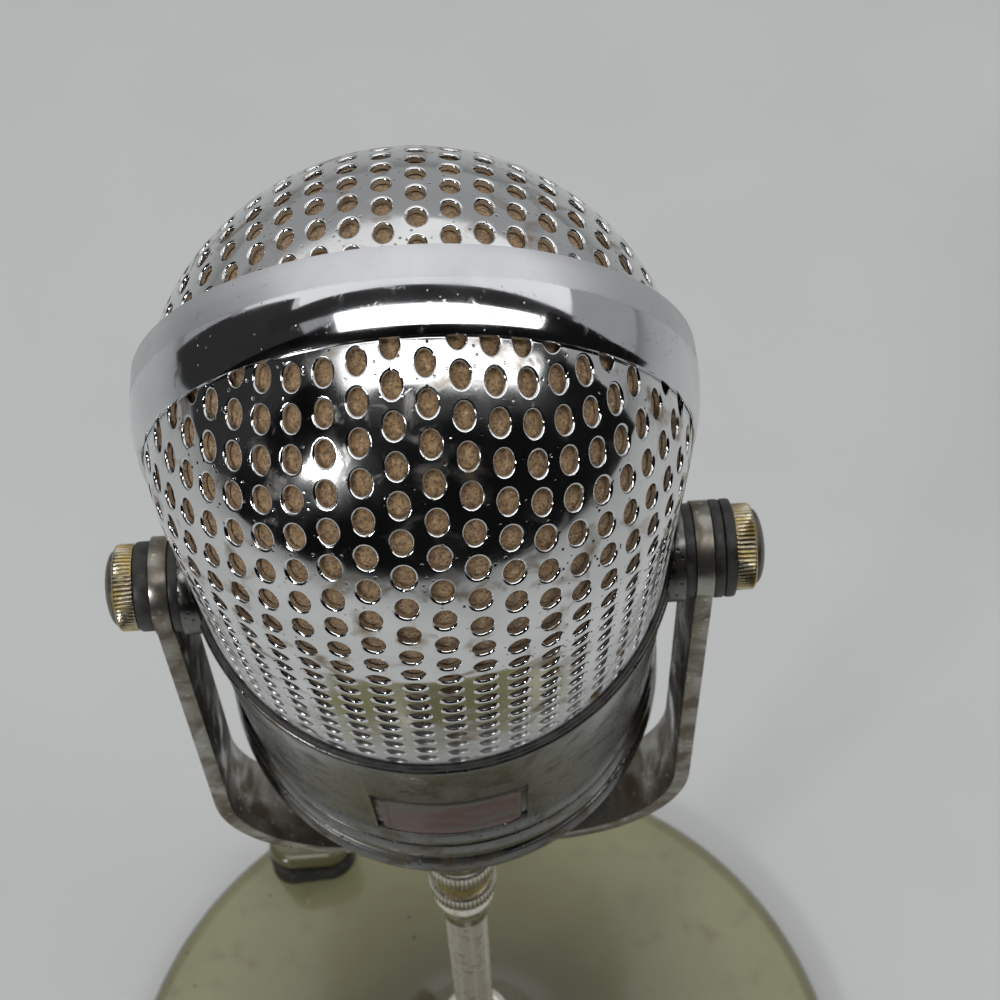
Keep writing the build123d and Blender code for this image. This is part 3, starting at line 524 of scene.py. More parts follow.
# ---------------------------------------------------------------- grilles and cloth
def on_capsule(across, up, radius, side):
    """Point and outward normal of an upright tube with a round crown: across runs round the tube from its
    middle, up runs along it and over the crown, both measured at the grille's radius."""
    turn = across / GRILLE_RADIUS
    climb = max(up - CROWN, 0) / GRILLE_RADIUS
    normal = Vector((
        math.sin(turn),
        side * math.cos(turn) * math.cos(climb),
        math.cos(turn) * math.sin(climb),
    ))
    return normal * radius + Vector((0, 0, min(up, CROWN))), normal


def along_column(across, distance):
    """Where a distance up a column of holes lands; over the crown the arc gets shorter to the sides."""
    if distance < CROWN:
        return distance
    return CROWN + (distance - CROWN) / math.cos(across / GRILLE_RADIUS)


def boss_place(side):
    """Distance round the tube from the middle of a grille to the side bosses."""
    turn = math.acos(AXIS_OFFSET / GRILLE_RADIUS)
    return GRILLE_RADIUS * (turn if side == FRONT else math.pi - turn)


def hole_centres(side):
    """Staggered columns of holes, as (across, distance up the column)."""
    centres = []
    for column in range(-12, 12):
        across = (column + 0.5) * COLUMN
        top = CROWN + GRILLE_RADIUS * math.cos(across / GRILLE_RADIUS) * (math.pi / 2 - 0.06)
        distance = FIRST_HOLE + (PITCH / 2 if column % 2 else 0)
        while distance < top - HOLE_TALL:
            boss = math.hypot(abs(across) - boss_place(side), distance)
            if boss > TRUNNION_HOLE + HOLE_TALL + 0.8:
                centres.append((across, distance))
            distance += PITCH
    return centres


def crown_share(centre):
    """How far over the crown a hole stands, from 0 at its foot to 1 at the top."""
    reach = GRILLE_RADIUS * math.cos(centre[0] / GRILLE_RADIUS) * math.pi / 2
    return min(max((centre[1] - CROWN) / reach, 0.0), 1.0)


def hole_loop(centre, grow):
    """Points round a hole, grown by a margin, as (across, up)."""
    share = crown_share(centre)
    across_middle = centre[0] * (1 - GATHER * share ** 2)
    half_wide = HOLE_WIDE * (1 - SLIM * share ** 1.5) + grow
    loop = []
    for step in range(HOLE_POINTS):
        turn = math.tau * step / HOLE_POINTS
        distance = centre[1] + (HOLE_TALL + grow) * math.sin(turn)
        loop.append((across_middle + half_wide * math.cos(turn), along_column(centre[0], distance)))
    return loop


def hole_middle(centre):
    """Middle of a hole, as (across, up)."""
    loop = hole_loop(centre, 0.0)
    return tuple(sum(values) / HOLE_POINTS for values in zip(*loop))


def sheet_edge(side_half, step):
    """Outline of a grille sheet and of its two side notches, as (across, up) loops."""
    wide = GRILLE_RADIUS * SIDE_EDGE
    top = CROWN + GRILLE_RADIUS * TOP_EDGE
    corners = ((-wide, GRILLE_FOOT), (wide, GRILLE_FOOT), (wide, top), (-wide, top))
    outline = []
    for start, end in zip(corners, corners[1:] + corners[:1]):
        count = round(math.dist(start, end) / step)
        outline += [
            tuple(a + (b - a) * index / count for a, b in zip(start, end)) for index in range(count)
        ]
    boss = boss_place(side_half)
    notches = []
    for side in (-1, 1):
        turns = (math.tau * index / 24 for index in range(24))
        notches.append([
            (side * boss + TRUNNION_HOLE * math.cos(turn), TRUNNION_HOLE * math.sin(turn)) for turn in turns
        ])
    return outline, notches


def grille(side, name, node):
    """Half of the perforated guard: a thick sheet with rolled hole edges."""
    centres = hole_centres(side)
    outline, notches = sheet_edge(side, 1.5)
    loops = [outline] + notches + [hole_loop(centre, LIP) for centre in centres]
    first_hole = 1 + len(notches)
    flat = [Vector(point) for loop in loops for point in loop]
    polygons, start = [], 0
    for loop in loops:
        polygons.append(list(range(start, start + len(loop))))
        start += len(loop)
    flat += filling(centres)
    spots, _, triangles, kept_from, _, owners = delaunay_2d_cdt(flat, [], polygons, 1, 1e-5)
    triangles = [face for face, owner in zip(triangles, owners) if set(owner) == {0}]
    now = {old: new for new, olds in enumerate(kept_from) for old in olds}

    points, normals, faces = [], [], []
    for spot in spots:
        point, normal = on_capsule(spot.x, spot.y, GRILLE_RADIUS, side)
        points.append(point)
        normals.append(normal)
    faces += triangles
    inner = len(points)
    points += [point - normal * GRILLE_WALL for point, normal in zip(points, normals)]
    normals += [-normal for normal in normals]
    faces += [tuple(inner + corner for corner in reversed(face)) for face in triangles]

    rounded_away = set()
    for index, centre in enumerate(centres):
        first = polygons[first_hole + index]
        outer_ring = [now[corner] for corner in first]
        rounded_away.update(outer_ring)
        middle, _ = on_capsule(*hole_middle(centre), GRILLE_RADIUS, side)
        rings = [outer_ring]
        for share in (0.35, 0.7, 1.0):
            turn = math.radians(90 * share)
            shrink = LIP * (1 - math.sin(turn))
            depth = LIP * (1 - math.cos(turn))
            rings.append(add_ring(points, normals, centre, shrink, depth, turn, side, middle))
        wall_end = add_ring(points, normals, centre, 0.0, GRILLE_WALL - 0.02, math.pi / 2, side, middle)
        rings.append(wall_end)
        for corner, spot in zip(outer_ring, hole_loop(centre, 0.0)):
            point, normal = on_capsule(*spot, GRILLE_RADIUS - GRILLE_WALL, side)
            points[inner + corner] = point
        rings.append([inner + corner for corner in outer_ring])
        for low, high in zip(rings, rings[1:]):
            for step in range(HOLE_POINTS):
                after = (step + 1) % HOLE_POINTS
                faces.append((low[step], low[after], high[after], high[step]))
    faces += rim_walls(triangles, rounded_away, inner)
    if side == REAR:
        faces = [tuple(reversed(face)) for face in faces]
    return add_piece(name, points, faces, "chrome_bright", "head", HEAD, [node], normals=normals)


def filling(centres):
    """Grid points between the holes, so that the sheet's triangles stay small."""
    step, margin, cell = 1.45, LIP + 0.5, 6.0
    wide = GRILLE_RADIUS * SIDE_EDGE - step / 2
    tall = CROWN + GRILLE_RADIUS * TOP_EDGE - step / 2
    near = {}
    for centre in centres:
        ranges = [(min(values), max(values)) for values in zip(*hole_loop(centre, margin))]
        cells = [range(int(low // cell), int(high // cell) + 1) for low, high in ranges]
        for column in cells[0]:
            for row in cells[1]:
                near.setdefault((column, row), []).append(ranges)
    found = []
    across = -wide
    while across < wide:
        height = GRILLE_FOOT + step / 2
        while height < tall:
            spot = (across, height)
            beside = near.get((int(across // cell), int(height // cell)), ())
            if not any(inside_oval(spot, ranges) for ranges in beside):
                found.append(Vector(spot))
            squeeze = math.cos(across / GRILLE_RADIUS) if height > CROWN else 1.0
            height += step / max(squeeze, 0.2)
        across += step
    return found


def inside_oval(spot, ranges):
    """Whether a spot lies in the oval that fills two ranges."""
    shares = ((2 * value - low - high) / (high - low) for value, (low, high) in zip(spot, ranges))
    return math.hypot(*shares) < 1


def add_ring(points, normals, centre, shrink, depth, turn, side, middle):
    """Append one ring of a hole's rolled edge; turn is how far its normal leans into the hole."""
    ring = []
    for spot in hole_loop(centre, shrink):
        point, normal = on_capsule(*spot, GRILLE_RADIUS - depth, side)
        inward = middle - point
        inward = (inward - normal * inward.dot(normal)).normalized()
        ring.append(len(points))
        points.append(point)
        normals.append((normal * math.cos(turn) + inward * math.sin(turn)).normalized())
    return ring


def rim_walls(triangles, hole_corners, inner):
    """Faces that close a sheet between its outside and its inside, along its open edges."""
    seen = {}
    for face in triangles:
        for first, second in zip(face, face[1:] + face[:1]):
            seen[(first, second)] = True
    walls = []
    for first, second in seen:
        if (second, first) not in seen and not {first, second} <= hole_corners:
            walls.append((second, first, inner + first, inner + second))
    return walls


def cloth(side, name, node):
    """Felt lining behind a grille: a thick lumpy sheet on the capsule's shape."""
    across_count, up_count = 110, 100
    wide = GRILLE_RADIUS * math.radians(84)
    low, top = 6.2, CROWN + GRILLE_RADIUS * math.radians(84.5)
    sheets = []
    points = []
    for layer, base in enumerate((CLOTH_RADIUS, CLOTH_RADIUS - CLOTH_WALL)):
        rows = []
        for row in range(up_count + 1):
            line = []
            for column in range(across_count + 1):
                across = -wide + 2 * wide * column / across_count
                up = low + (top - low) * row / up_count
                lump = noise.fractal(Vector((across, up, side * 40)) * 0.8, 0.6, 2.0, 3)
                sag = (0.10 + 0.10 * lump) if layer == 0 else 0
                point, _ = on_capsule(across, up, base - sag, side)
                line.append(len(points))
                points.append(point)
            rows.append(line)
        sheets.append(rows)
    return add_piece(name, points, sheet_faces(sheets), "tan_cloth", "head", HEAD, [node])


def grid_faces(rows):
    """Faces between the rows of a grid of point numbers."""
    faces = []
    for below, above in zip(rows, rows[1:]):
        for column in range(len(below) - 1):
            faces.append((below[column], below[column + 1], above[column + 1], above[column]))
    return faces


def sheet_faces(sheets):
    """Faces of a thick sheet: its outer grid, its inner grid and the edge between them."""
    faces = [face for rows in sheets for face in grid_faces(rows)]
    outer, inner = (edge_loop(rows) for rows in sheets)
    for step in range(len(outer)):
        after = (step + 1) % len(outer)
        faces.append((outer[step], outer[after], inner[after], inner[step]))
    return faces


def edge_loop(rows):
    """Border of a grid of point numbers, once round."""
    right = [row[-1] for row in rows[1:]]
    left = [row[0] for row in reversed(rows[1:-1])]
    return rows[0] + right + list(reversed(rows[-1]))[1:] + left


# ---------------------------------------------------------------- screws, nut and stem
def side_frame(side):
    """Local Z runs outwards along the tilt axis."""
    return Matrix.Translation(pivot) @ Matrix.Rotation(side * math.pi / 2, 4, "Y")


def thumbscrew(side, name, node, body):
    """Knurled screw with a threaded shank, a broad band and a low dark dome."""
    low, high = (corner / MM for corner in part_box(node))
    inside, outside = sorted((abs(low.x), abs(high.x)))
    radius = (high.z - low.z) / 2
    band_end = outside - KNOB_DOME
    seat = band_end - KNOB_BAND
    shank = 1.95
    outline = [(0, inside), (shank - 0.4, inside)]
    outline += [(shank, inside + 0.4 + step * 0.1, True) for step in range(int((seat - inside - 0.5) * 10))]
    outline += [(shank, seat), (radius - 0.45, seat), (radius - 0.15, seat + 0.12)]
    outline += [(radius, seat + 0.3, True), (radius, band_end - 0.45, True)]
    outline += [(radius - 0.12, band_end - 0.2, True), (radius - 0.5, band_end)]
    dome_radius, dome_foot, dome_rows = radius - 0.75, band_end + 0.02, 9
    outline.append((dome_radius, dome_foot))
    for row in range(1, dome_rows + 1):
        climb = row / dome_rows * math.pi / 2
        outline.append((dome_radius * math.cos(climb), dome_foot + (KNOB_DOME - 0.02) * math.sin(climb)))
    outline[-1] = (0, outline[-1][1])
    knurl, screw = ridges(60, KNURL_DEPTH), thread(0.8, KNURL_DEPTH)

    def shape(turn, height):
        return knurl(turn, height) if height > seat else screw(turn, height)

    points, faces, wear_and_highlight = turned(outline, 240, shape)
    piece = add_piece(name, points, faces, "brass_worn", body, side_frame(side), [node], wear_and_highlight)
    second_finish(piece, "patina_dark", lambda middle: abs(middle.x) / MM > band_end - 0.05)
    return piece


def coupling_nut():
    """Nut under the yoke: a knurled flange, a rounded cone and a neck round the stem. It is hollow at the
    top, where the foot of the socket sits."""
    low, high = (corner.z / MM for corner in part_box("coupling_nut"))
    bore, flange_radius, cone_radius = STEM_RADIUS + GAP, 6.2, 5.2
    neck = bore + 0.45
    mouth, hollow = 3.6, 4.6
    outline = [(bore, low), (bore + 0.3, low), (neck, low + 0.2), (neck, low + 4.6)]
    outline += [(bore + 0.2, low + 4.9), (bore + 0.2, low + 5.6)]
    outline += arc((2.6, low + 9.0), 3.1, -60, 20, 8)
    outline += [(cone_radius, high - 4.8)]
    outline += knurled_flange(high - 4.6, high, flange_radius)
    outline += [(mouth, high), (mouth, high - 1.8), (hollow, high - 1.8), (hollow, high - 4.0)]
    outline += [(bore, high - 4.0)]
    points, faces, wear_and_highlight = turned(outline, 192, ridges(48, KNURL_DEPTH))
    return add_piece(
        "knurled_coupling_nut", points, faces, "nickel_ridged", "nut", UPRIGHT, ["coupling_nut"], wear_and_highlight
    )


def knurled_flange(foot, top, radius):
    """Outline rows of a knurled flange with rounded corners."""
    rows = [(radius - 0.5, foot), (radius - 0.1, foot + 0.3, True), (radius, foot + 0.6, True)]
    return rows + [(radius, top - 0.6, True), (radius - 0.1, top - 0.3, True), (radius - 0.5, top)]


def socket():
    """Socket that carries the yoke: a pin in the stem, a dark waist, a knurled flange and a wide seat."""
    low, high = (corner.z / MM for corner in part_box("yoke_socket"))
    nut_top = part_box("coupling_nut")[1].z / MM
    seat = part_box("yoke_strip")[0].z / MM - GAP
    waist_low, waist_high = nut_top + 0.9, nut_top + 6.1
    pin, foot, throat, waist, neck, rim, rivet = 2.15, 4.5, 3.5, 5.0, 5.8, 8.5, 3.95
    shoulder = nut_top - 1.9
    outline = [(0, low), (pin - 0.3, low), (pin, low + 0.3), (pin, shoulder - 2.05)]
    outline += [(foot, shoulder - 2.05), (foot, shoulder), (throat, shoulder), (throat, nut_top + 0.2)]
    outline.append((waist + 0.2, waist_low))
    outline += [(waist, waist_low + 0.4), (waist, waist_high - 0.4), (waist + 0.2, waist_high)]
    outline += knurled_flange(waist_high + 0.2, waist_high + 5.0, 6.5)
    outline += [(neck, waist_high + 5.3), (neck, waist_high + 7.0), (rim - 0.4, nut_top + 17.6)]
    outline += [(rim, nut_top + 18.2), (rim, seat - 0.3), (rim - 0.3, seat)]
    outline += [(rivet, seat), (rivet, high - 0.4), (rivet - 0.45, high), (0, high)]
    points, faces, wear_and_highlight = turned(outline, 192, ridges(50, KNURL_DEPTH))
    piece = add_piece(
        "knurled_socket", points, faces, "nickel_ridged", "yoke", UPRIGHT, ["yoke_socket"], wear_and_highlight
    )
    second_finish(piece, "brass_dark", lambda middle: waist_low < middle.z / MM < waist_high)
    return piece


def second_finish(piece, finish, chosen):
    """Give the faces whose middle is chosen another finish."""
    piece.data.materials.append(materials[finish])
    for face in piece.data.polygons:
        if chosen(face.center):
            face.material_index = 1


def stem():
    """Threaded tube with a plain foot."""
    low, high = (corner.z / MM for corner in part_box("stem"))
    bore, neck, plain_rows = 2.2, 84.0, 24
    row_height = THREAD_PITCH / 8
    outline = [(bore, low), (STEM_RADIUS - 0.3, low), (STEM_RADIUS, low + 0.3)]
    outline += [(STEM_RADIUS, low + (neck - low) * step / plain_rows) for step in range(1, plain_rows)]
    outline += [(STEM_RADIUS, neck), (STEM_RADIUS - 0.25, neck + 0.4)]
    rows = int((high - neck - 1.2) / row_height)
    outline += [(STEM_RADIUS, neck + 0.6 + step * row_height, True) for step in range(rows)]
    outline += [(STEM_RADIUS - 0.4, high), (bore, high)]
    points, faces, wear_and_highlight = turned(outline, 64, thread(THREAD_PITCH, THREAD_DEPTH))
    return add_piece("threaded_stem", points, faces, "nickel_ridged", "stand", UPRIGHT, ["stem"], wear_and_highlight)


def slotted_heads(name, node, body, finish, place, spots, head, shank, slot_turn):
    """Screws with a low domed head and a slot, as one piece; spots are in the place frame, heads up +Z.
    head and shank are (radius, height) and (radius, length)."""
    head_radius, head_height = head
    shank_radius, shank_length = shank
    work = bmesh.new()
    for index, spot in enumerate(spots):
        outline = [(0, -shank_length), (shank_radius - 0.2, -shank_length)]
        outline += [(shank_radius, -shank_length + 0.2), (shank_radius, 0)]
        outline += [(head_radius - 0.1, 0), (head_radius, 0.1)]
        for step in range(1, 6):
            climb = step * math.pi / 12
            outline.append((head_radius * math.cos(climb), 0.1 + (head_height - 0.1) * math.sin(climb)))
        outline.append((0, head_height))
        points, faces, _ = turned(outline, 40)
        shape = bmesh.new()
        corners = [shape.verts.new(point) for point in points]
        for face in faces:
            shape.faces.new([corners[corner] for corner in face])
        cut_slot(shape, slot_turn + index * 0.7)
        shape.transform(spot)
        lump = bpy.data.meshes.new("lump")
        shape.to_mesh(lump)
        shape.free()
        work.from_mesh(lump)
        bpy.data.meshes.remove(lump)
    work.transform(TO_METRES @ place)
    bmesh.ops.recalc_face_normals(work, faces=work.faces)
    mesh = bpy.data.meshes.new(name)
    work.to_mesh(mesh)
    work.free()
    return dress(name, mesh, finish, body, [node])


def cut_slot(shape, turn):
    """Press a screwdriver slot into the top of a screw head."""
    floor, depth = 0.12, 0.42
    across = Vector((-math.sin(turn), math.cos(turn), 0))
    for offset in (-0.3, -0.22, 0.22, 0.3):
        geometry = shape.verts[:] + shape.edges[:] + shape.faces[:]
        bmesh.ops.bisect_plane(shape, geom=geometry, plane_co=across * offset, plane_no=across, dist=1e-6)
    for corner in shape.verts:
        if abs(corner.co.dot(across)) < 0.25 and corner.co.z > floor:
            corner.co.z = max(floor, corner.co.z - depth)


# ---------------------------------------------------------------- talk button
def oval(rows, name, finish, body, node, open_ring=False):
    """Solid lofted from ovals; a row is (margin outside the button's own oval, height). An open ring joins
    its last row to its first, other solids are closed by a face at each end."""
    low, high = (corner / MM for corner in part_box("talk_button"))
    middle = (low + high) / 2
    end_radius = (high.y - low.y) / 2
    straight = (high.x - low.x) / 2 - end_radius
    points, faces, steps = [], [], 96
    for margin, height in rows:
        for step in range(steps):
            turn = math.tau * (step + 0.5) / steps
            shift = math.copysign(straight, math.cos(turn))
            radius = end_radius + margin
            points.append((
                middle.x + shift + radius * math.cos(turn), middle.y + radius * math.sin(turn), height
            ))
    loop = list(range(len(rows))) + ([0] if open_ring else [])
    for here, there in zip(loop, loop[1:]):
        below, above = here * steps, there * steps
        for step in range(steps):
            after = (step + 1) % steps
            faces.append((below + step, below + after, above + after, above + step))
    if not open_ring:
        faces.append(tuple(range(steps)))
        faces.append(tuple((len(rows) - 1) * steps + step for step in range(steps)))
    return add_piece(name, points, faces, finish, body, UPRIGHT, [node])


def talk_button():
    """Thin hollow oval cap whose rounded top hangs over its dark sleeve, with room for the spring; the
    sleeve's black is painted shade under the cap.
    """
    foot, top = (corner.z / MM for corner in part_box("talk_button"))
    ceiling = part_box("button_spring")[1].z / MM + BUTTON_TRAVEL + GAP
    hollow = -2.0
    cap = [(hollow, ceiling), (hollow, foot), (0, foot), (0, top - 2.5), (0.7, top - 2.45)]
    cap += [(1.0, top - 2.0), (0.9, top - 1.3), (0.5, top - 0.6), (-0.3, top - 0.1)]
    cap += [(-1.3, top + 0.2), (-2.6, top + 0.4), (-4.0, top + 0.5)]
    oval(cap, "button_cap", "olive_grimy", "button", "talk_button")
    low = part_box("button_bezel")[0].z / MM
    sleeve_top, outside = top - 5.1, 1.25
    sleeve = [(GAP, low), (outside, low), (outside, sleeve_top - 0.5), (0.9, sleeve_top), (0.3, sleeve_top)]
    sleeve.append((GAP, sleeve_top - 0.3))
    # Painted shade: the sleeve's black stands for the shade under the cap.
    oval(sleeve, "button_sleeve", "dark_rubber", "stand", "button_bezel", open_ring=True)


# ---------------------------------------------------------------- collar details
def collar_ring(name, finish, height, stand, thickness):
    """Ring round the collar at a height in the head's frame, open at the thumb screws. stand is how far
    the middle of its round section lies outside the collar's surface."""
    section = arc((COLLAR_RADIUS + stand, height), thickness, -90, 270, 14)[:-1]
    points, faces, _ = turned(section, 180)
    return open_for_screws(add_piece(name, points, faces, finish, "head", HEAD))


def open_for_screws(piece):
    """Cut a ring away where the two thumb screws pass through it, and close its ends."""
    shape = bmesh.new()
    shape.from_mesh(piece.data)
    to_head = HEAD.inverted()
    crowded = []
    for face in shape.faces:
        spot = to_head @ (face.calc_center_median() / MM)
        turn = math.atan2(spot.y, abs(spot.x))
        if abs(COLLAR_RADIUS * math.sin(turn) + AXIS_OFFSET) < SCREW_ROOM:
            crowded.append(face)
    bmesh.ops.delete(shape, geom=crowded, context="FACES")
    bmesh.ops.holes_fill(shape, edges=[edge for edge in shape.edges if edge.is_boundary], sides=0)
    bmesh.ops.recalc_face_normals(shape, faces=shape.faces)
    shape.to_mesh(piece.data)
    shape.free()
    return piece


def collar_joint():
    """Rolled bead at the top of the collar, between two thin dark rings that are painted shade in its
    seams.
    """
    collar_ring("collar_bead", "chrome_satin", GRILLE_FOOT - 0.75, 0.05, 0.55)
    # Painted shade: the two dark rings are the shade in the seams.
    collar_ring("upper_seam_shade", "dark_rubber", GRILLE_FOOT + 0.15, -0.25, 0.5)
    collar_ring("lower_seam_shade", "dark_rubber", GRILLE_FOOT - 1.65, -0.1, 0.42)


def badge():
    """Blank curved name plate with round corners and a raised border, in the collar's recess."""
    columns, rows = 64, 44
    corner = 2.2
    middle = (BADGE_LOW + BADGE_HIGH) / 2
    half_wide, half_tall = BADGE_WIDE / 2, (BADGE_HIGH - BADGE_LOW) / 2
    front_depth, back_depth = 0.34, 0.72
    points = []
    for layer in (0, 1):
        for row in range(rows + 1):
            for column in range(columns + 1):
                x, y, inset = round_corner(
                    half_wide * (2 * column / columns - 1), half_tall * (2 * row / rows - 1),
                    half_wide, half_tall, corner,
                )
                border = 0.22 * smooth_step(1.5, 1.1, inset) * smooth_step(0.0, 0.3, inset)
                edge = 0.2 * smooth_step(0.25, 0.0, inset)
                depth = back_depth if layer else front_depth - border + edge
                turn = x / COLLAR_RADIUS
                radius = COLLAR_RADIUS - depth
                points.append((radius * math.sin(turn), -radius * math.cos(turn), middle + y))
    line = columns + 1
    layer_size = line * (rows + 1)
    grids = [
        [[layer * layer_size + row * line + column for column in range(line)] for row in range(rows + 1)]
        for layer in (0, 1)
    ]
    return add_piece("badge_blank", points, sheet_faces(grids), "badge_face", "head", HEAD, ["badge_plate"])


def round_corner(x, y, half_wide, half_tall, corner):
    """Pull a point of a rectangle into its rounded corner; also gives its distance in from the edge."""
    reach_x, reach_y = abs(x) - (half_wide - corner), abs(y) - (half_tall - corner)
    if reach_x > 0 and reach_y > 0:
        length = math.hypot(reach_x, reach_y)
        square = max(reach_x, reach_y)
        pull = square / length if length > 0 else 1.0
        x = math.copysign(half_wide - corner + reach_x * pull, x)
        y = math.copysign(half_tall - corner + reach_y * pull, y)
        return x, y, corner - square
    return x, y, min(half_wide - abs(x), half_tall - abs(y))


def smooth_step(start, end, value):
    """Smooth rise from 0 at start to 1 at end."""
    share = min(max((value - start) / (end - start), 0.0), 1.0)
    return share * share * (3 - 2 * share)


# ---------------------------------------------------------------- build the pieces
def build_head():
    """Everything that tilts."""
    grille(FRONT, "front_guard", "front_grille")
    grille(REAR, "rear_guard", "rear_grille")
    cloth(FRONT, "front_lining", "front_cloth")
    cloth(REAR, "rear_lining", "rear_cloth")
    collar_joint()
    badge()
    for node, finish, edge in (
        ("arch_band", "chrome_clean", 0.22),
        ("collar", "chrome_satin", 0.15),
        ("stepped_ring", "chrome_satin", 0.15),
        ("trunnions", "chrome_satin", 0.2),
        ("output_socket", "chrome_satin", 0.25),
        ("bottom_cap", "chrome_satin", 0.2),
    ):
        finished_copy(node, "head", finish, edge)
    spots = []
    for side in (-1, 1):
        spots.append(
            Matrix.Translation((side * (BAND_RADIUS + 0.05), *BAND_SCREW))
            @ Matrix.Rotation(side * math.pi / 2, 4, "Y")
        )
    slotted_heads("band_screw_heads", "band_screws", "head", "chrome_satin", HEAD, spots,
                  (1.9, 0.6), (1.25, 1.4), 0.5)


def build_yoke():
    """Yoke, washers and thumb screws."""
    for node, finish, edge in (
        ("yoke_strip", "nickel_tarnished", 0.35),
        ("yoke_nut", "nickel_warm", 0.3),
        ("spacers", "dark_rubber", 0.12),
        ("left_washer", "dark_rubber", 0.35),
        ("right_washers", "dark_rubber", 0.35),
    ):
        finished_copy(node, "yoke", finish, edge)
    socket()
    thumbscrew(-1, "left_knob", "left_thumbscrew", "left_screw")
    thumbscrew(1, "right_knob", "right_thumbscrew", "right_screw")


def build_stand():
    """Stem, nut, stem collar and button."""
    coupling_nut()
    stem()
    finished_copy("stem_collar", "stand", "nickel_warm", 0.3)
    talk_button()


def paint_cad_nodes():
    """Put the procedural materials in the slots of the CAD nodes that stay."""
    for node in frame["nodes"].values():
        for slot in node.material_slots:
            slot.material = materials[slot.material.name.split(".")[0]]


paint_cad_nodes()
build_head()
build_yoke()
build_stand()


# ---------------------------------------------------------------- stage, light and camera
def plain_surface(name, color, rough):
    """Material of the floor."""
    material, tree, shader = new_material(name)
    cloud = blotches(tree, 60.0, 0.3, 0.7, detail=4.0)
    tone = tint(tree, cloud, color, tuple(0.96 * part for part in color))
    normal = relief(tree, blotches(tree, 1.5, 0.3, 0.7), 0.02)
    set_surface(tree, shader, tone, rough, normal)
    return material


def glow(name, strength):
    """Material of a light or dark card that only reflections see."""
    material, tree, shader = new_material(name)
    facing = add_node(tree, "ShaderNodeNewGeometry").outputs["Normal"]
    set_surface(tree, shader, (0.0, 0.0, 0.0), 1.0, facing)
    shader.inputs["Emission Color"].default_value = (1, 1, 1, 1)
    shader.inputs["Emission Strength"].default_value = strength
    return material


def stage_mesh(name, points, faces, material):
    """One object that isn't part of the microphone."""
    mesh = bpy.data.meshes.new(name)
    mesh.from_pydata(points, [], faces)
    thing = bpy.data.objects.new(name, mesh)
    bpy.context.scene.collection.objects.link(thing)
    mesh.materials.append(material)
    return thing


def reflect_only(thing):
    """Hide a card from everything but mirror reflections."""
    thing.visible_camera = False
    thing.visible_diffuse = False
    thing.visible_shadow = False
    thing.visible_transmission = False
    return thing


def curved_card(name, radius, azimuths, heights, material):
    """Card on a sphere round the head; azimuth 0 is straight in front and grows to the right, and the
    second range is the angle above the head. Both in degrees."""
    steps, middle = 24, 0.3
    points = []
    for row in range(steps + 1):
        climb = math.radians(heights[0] + (heights[1] - heights[0]) * row / steps)
        for step in range(steps + 1):
            turn = math.radians(azimuths[0] + (azimuths[1] - azimuths[0]) * step / steps)
            flat, up = radius * math.cos(climb), radius * math.sin(climb)
            points.append((flat * math.sin(turn), -flat * math.cos(turn), middle + up))
    line = steps + 1
    rows = [list(range(row * line, (row + 1) * line)) for row in range(line)]
    return reflect_only(stage_mesh(name, points, grid_faces(rows), material))


def area_light(name, place, target, size, power):
    """Soft box aimed at a point."""
    light = bpy.data.lights.new(name, "AREA")
    light.shape = "RECTANGLE"
    light.size, light.size_y = size
    light.energy = power
    lamp = bpy.data.objects.new(name, light)
    lamp.location = place
    lamp.rotation_euler = (Vector(target) - Vector(place)).to_track_quat("-Z", "Y").to_euler()
    bpy.context.scene.collection.objects.link(lamp)
    return lamp


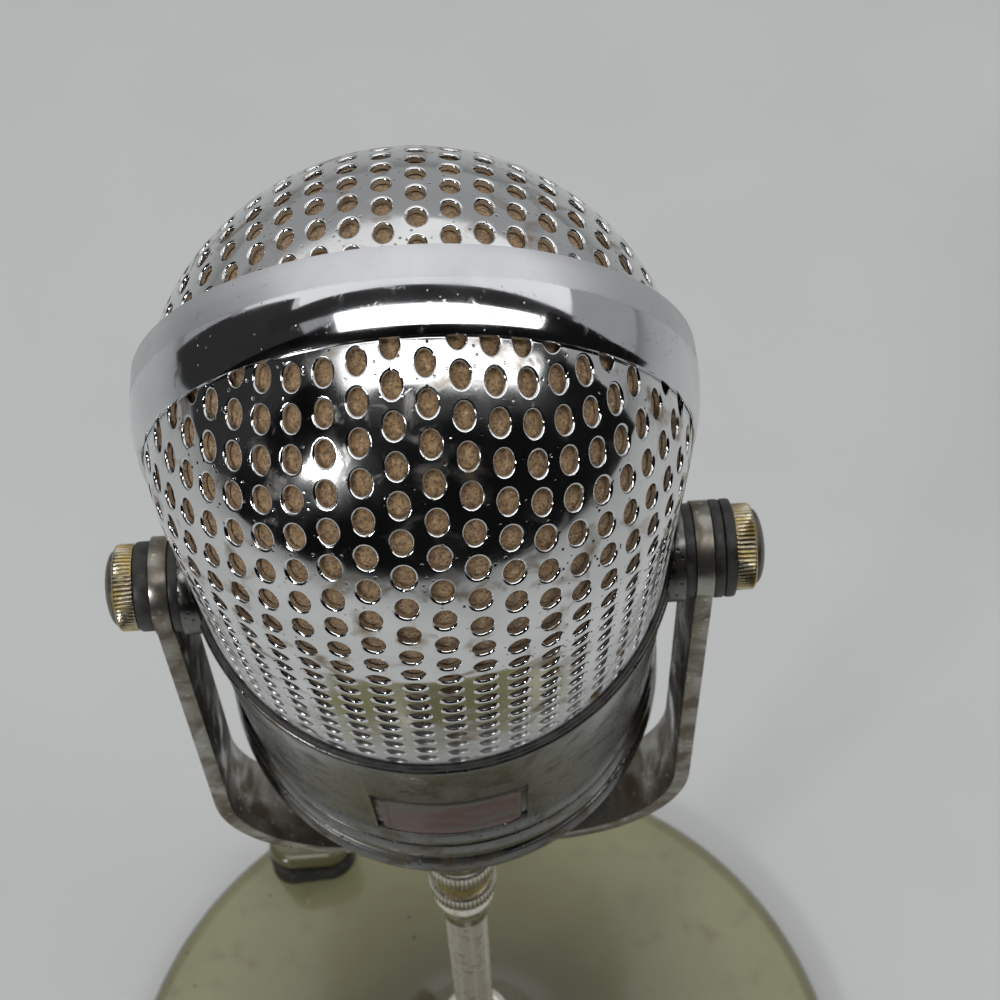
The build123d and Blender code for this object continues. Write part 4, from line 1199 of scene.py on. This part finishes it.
def build_stage():
    """Floor, soft light and the dim room that the chrome reflects."""
    half = 6.0
    floor = [(-half, -half, 0), (half, -half, 0), (half, half, 0), (-half, half, 0)]
    stage_mesh("floor", floor, [(0, 1, 2, 3)], plain_surface("floor_pale", (0.60, 0.61, 0.60), 0.75))
    # Cards: a dark room in front, a dim wall on the left, a dark beam overhead
    curved_card("dark_room", 1.6, (-75, 92), (-14, 70), glow("card_dark", 0.0))
    curved_card("dim_side", 1.62, (-112, -74), (-6, 50), glow("card_dim", 0.025))
    beam = [(-1.6, -0.06, 1.3), (1.9, -0.06, 1.3), (1.9, 0.17, 1.3), (-1.6, 0.17, 1.3)]
    reflect_only(stage_mesh("dark_beam", beam, [(0, 1, 2, 3)], glow("card_beam", 0.02)))
    # Lamps: a narrow strip over the crown, a broad ceiling behind it, a small window in front
    area_light("ceiling_strip", (0.4, -0.21, 1.3), (0.4, -0.21, 0.0), (1.8, 0.3), 5.2)
    area_light("ceiling", (0.0, 0.95, 1.5), (0.0, 0.95, 0.0), (4.4, 1.5), 12.0)
    area_light("window", (-0.6, -0.62, 0.78), (0, 0, 0.27), (0.15, 0.2), 2.6)
    world = bpy.data.worlds.new("studio")
    bpy.context.scene.world = world
    world.use_nodes = True
    sky = world.node_tree.nodes["Background"].inputs
    sky["Color"].default_value = (0.80, 0.81, 0.83, 1)
    sky["Strength"].default_value = 0.42


def build_camera():
    """Close view of the head from above and in front, focused on the crown."""
    lens = bpy.data.cameras.new("camera")
    lens.sensor_width = 36.0
    lens.lens = 73.0
    lens.clip_start = 0.01
    camera = bpy.data.objects.new("camera", lens)
    bpy.context.scene.collection.objects.link(camera)
    yaw, pitch, roll = (math.radians(angle) for angle in (-1.84, 57.22, -2.26))
    camera.matrix_world = (
        Matrix.Translation(Vector((4.98, -143.8, 497.3)) * MM)
        @ Matrix.Rotation(yaw, 4, "Z")
        @ Matrix.Rotation(math.pi / 2 - pitch, 4, "X")
        @ Matrix.Rotation(roll, 4, "Z")
    )
    focus = bpy.data.objects.new("focus", None)
    focus.location = (head_origin + head_up * (CROWN + 12) - head_back * 22) * MM
    bpy.context.scene.collection.objects.link(focus)
    lens.dof.use_dof = True
    lens.dof.focus_object = focus
    lens.dof.aperture_fstop = 100
    bpy.context.scene.camera = camera
    bpy.context.scene.view_settings.view_transform = "Standard"


build_stage()
build_camera()
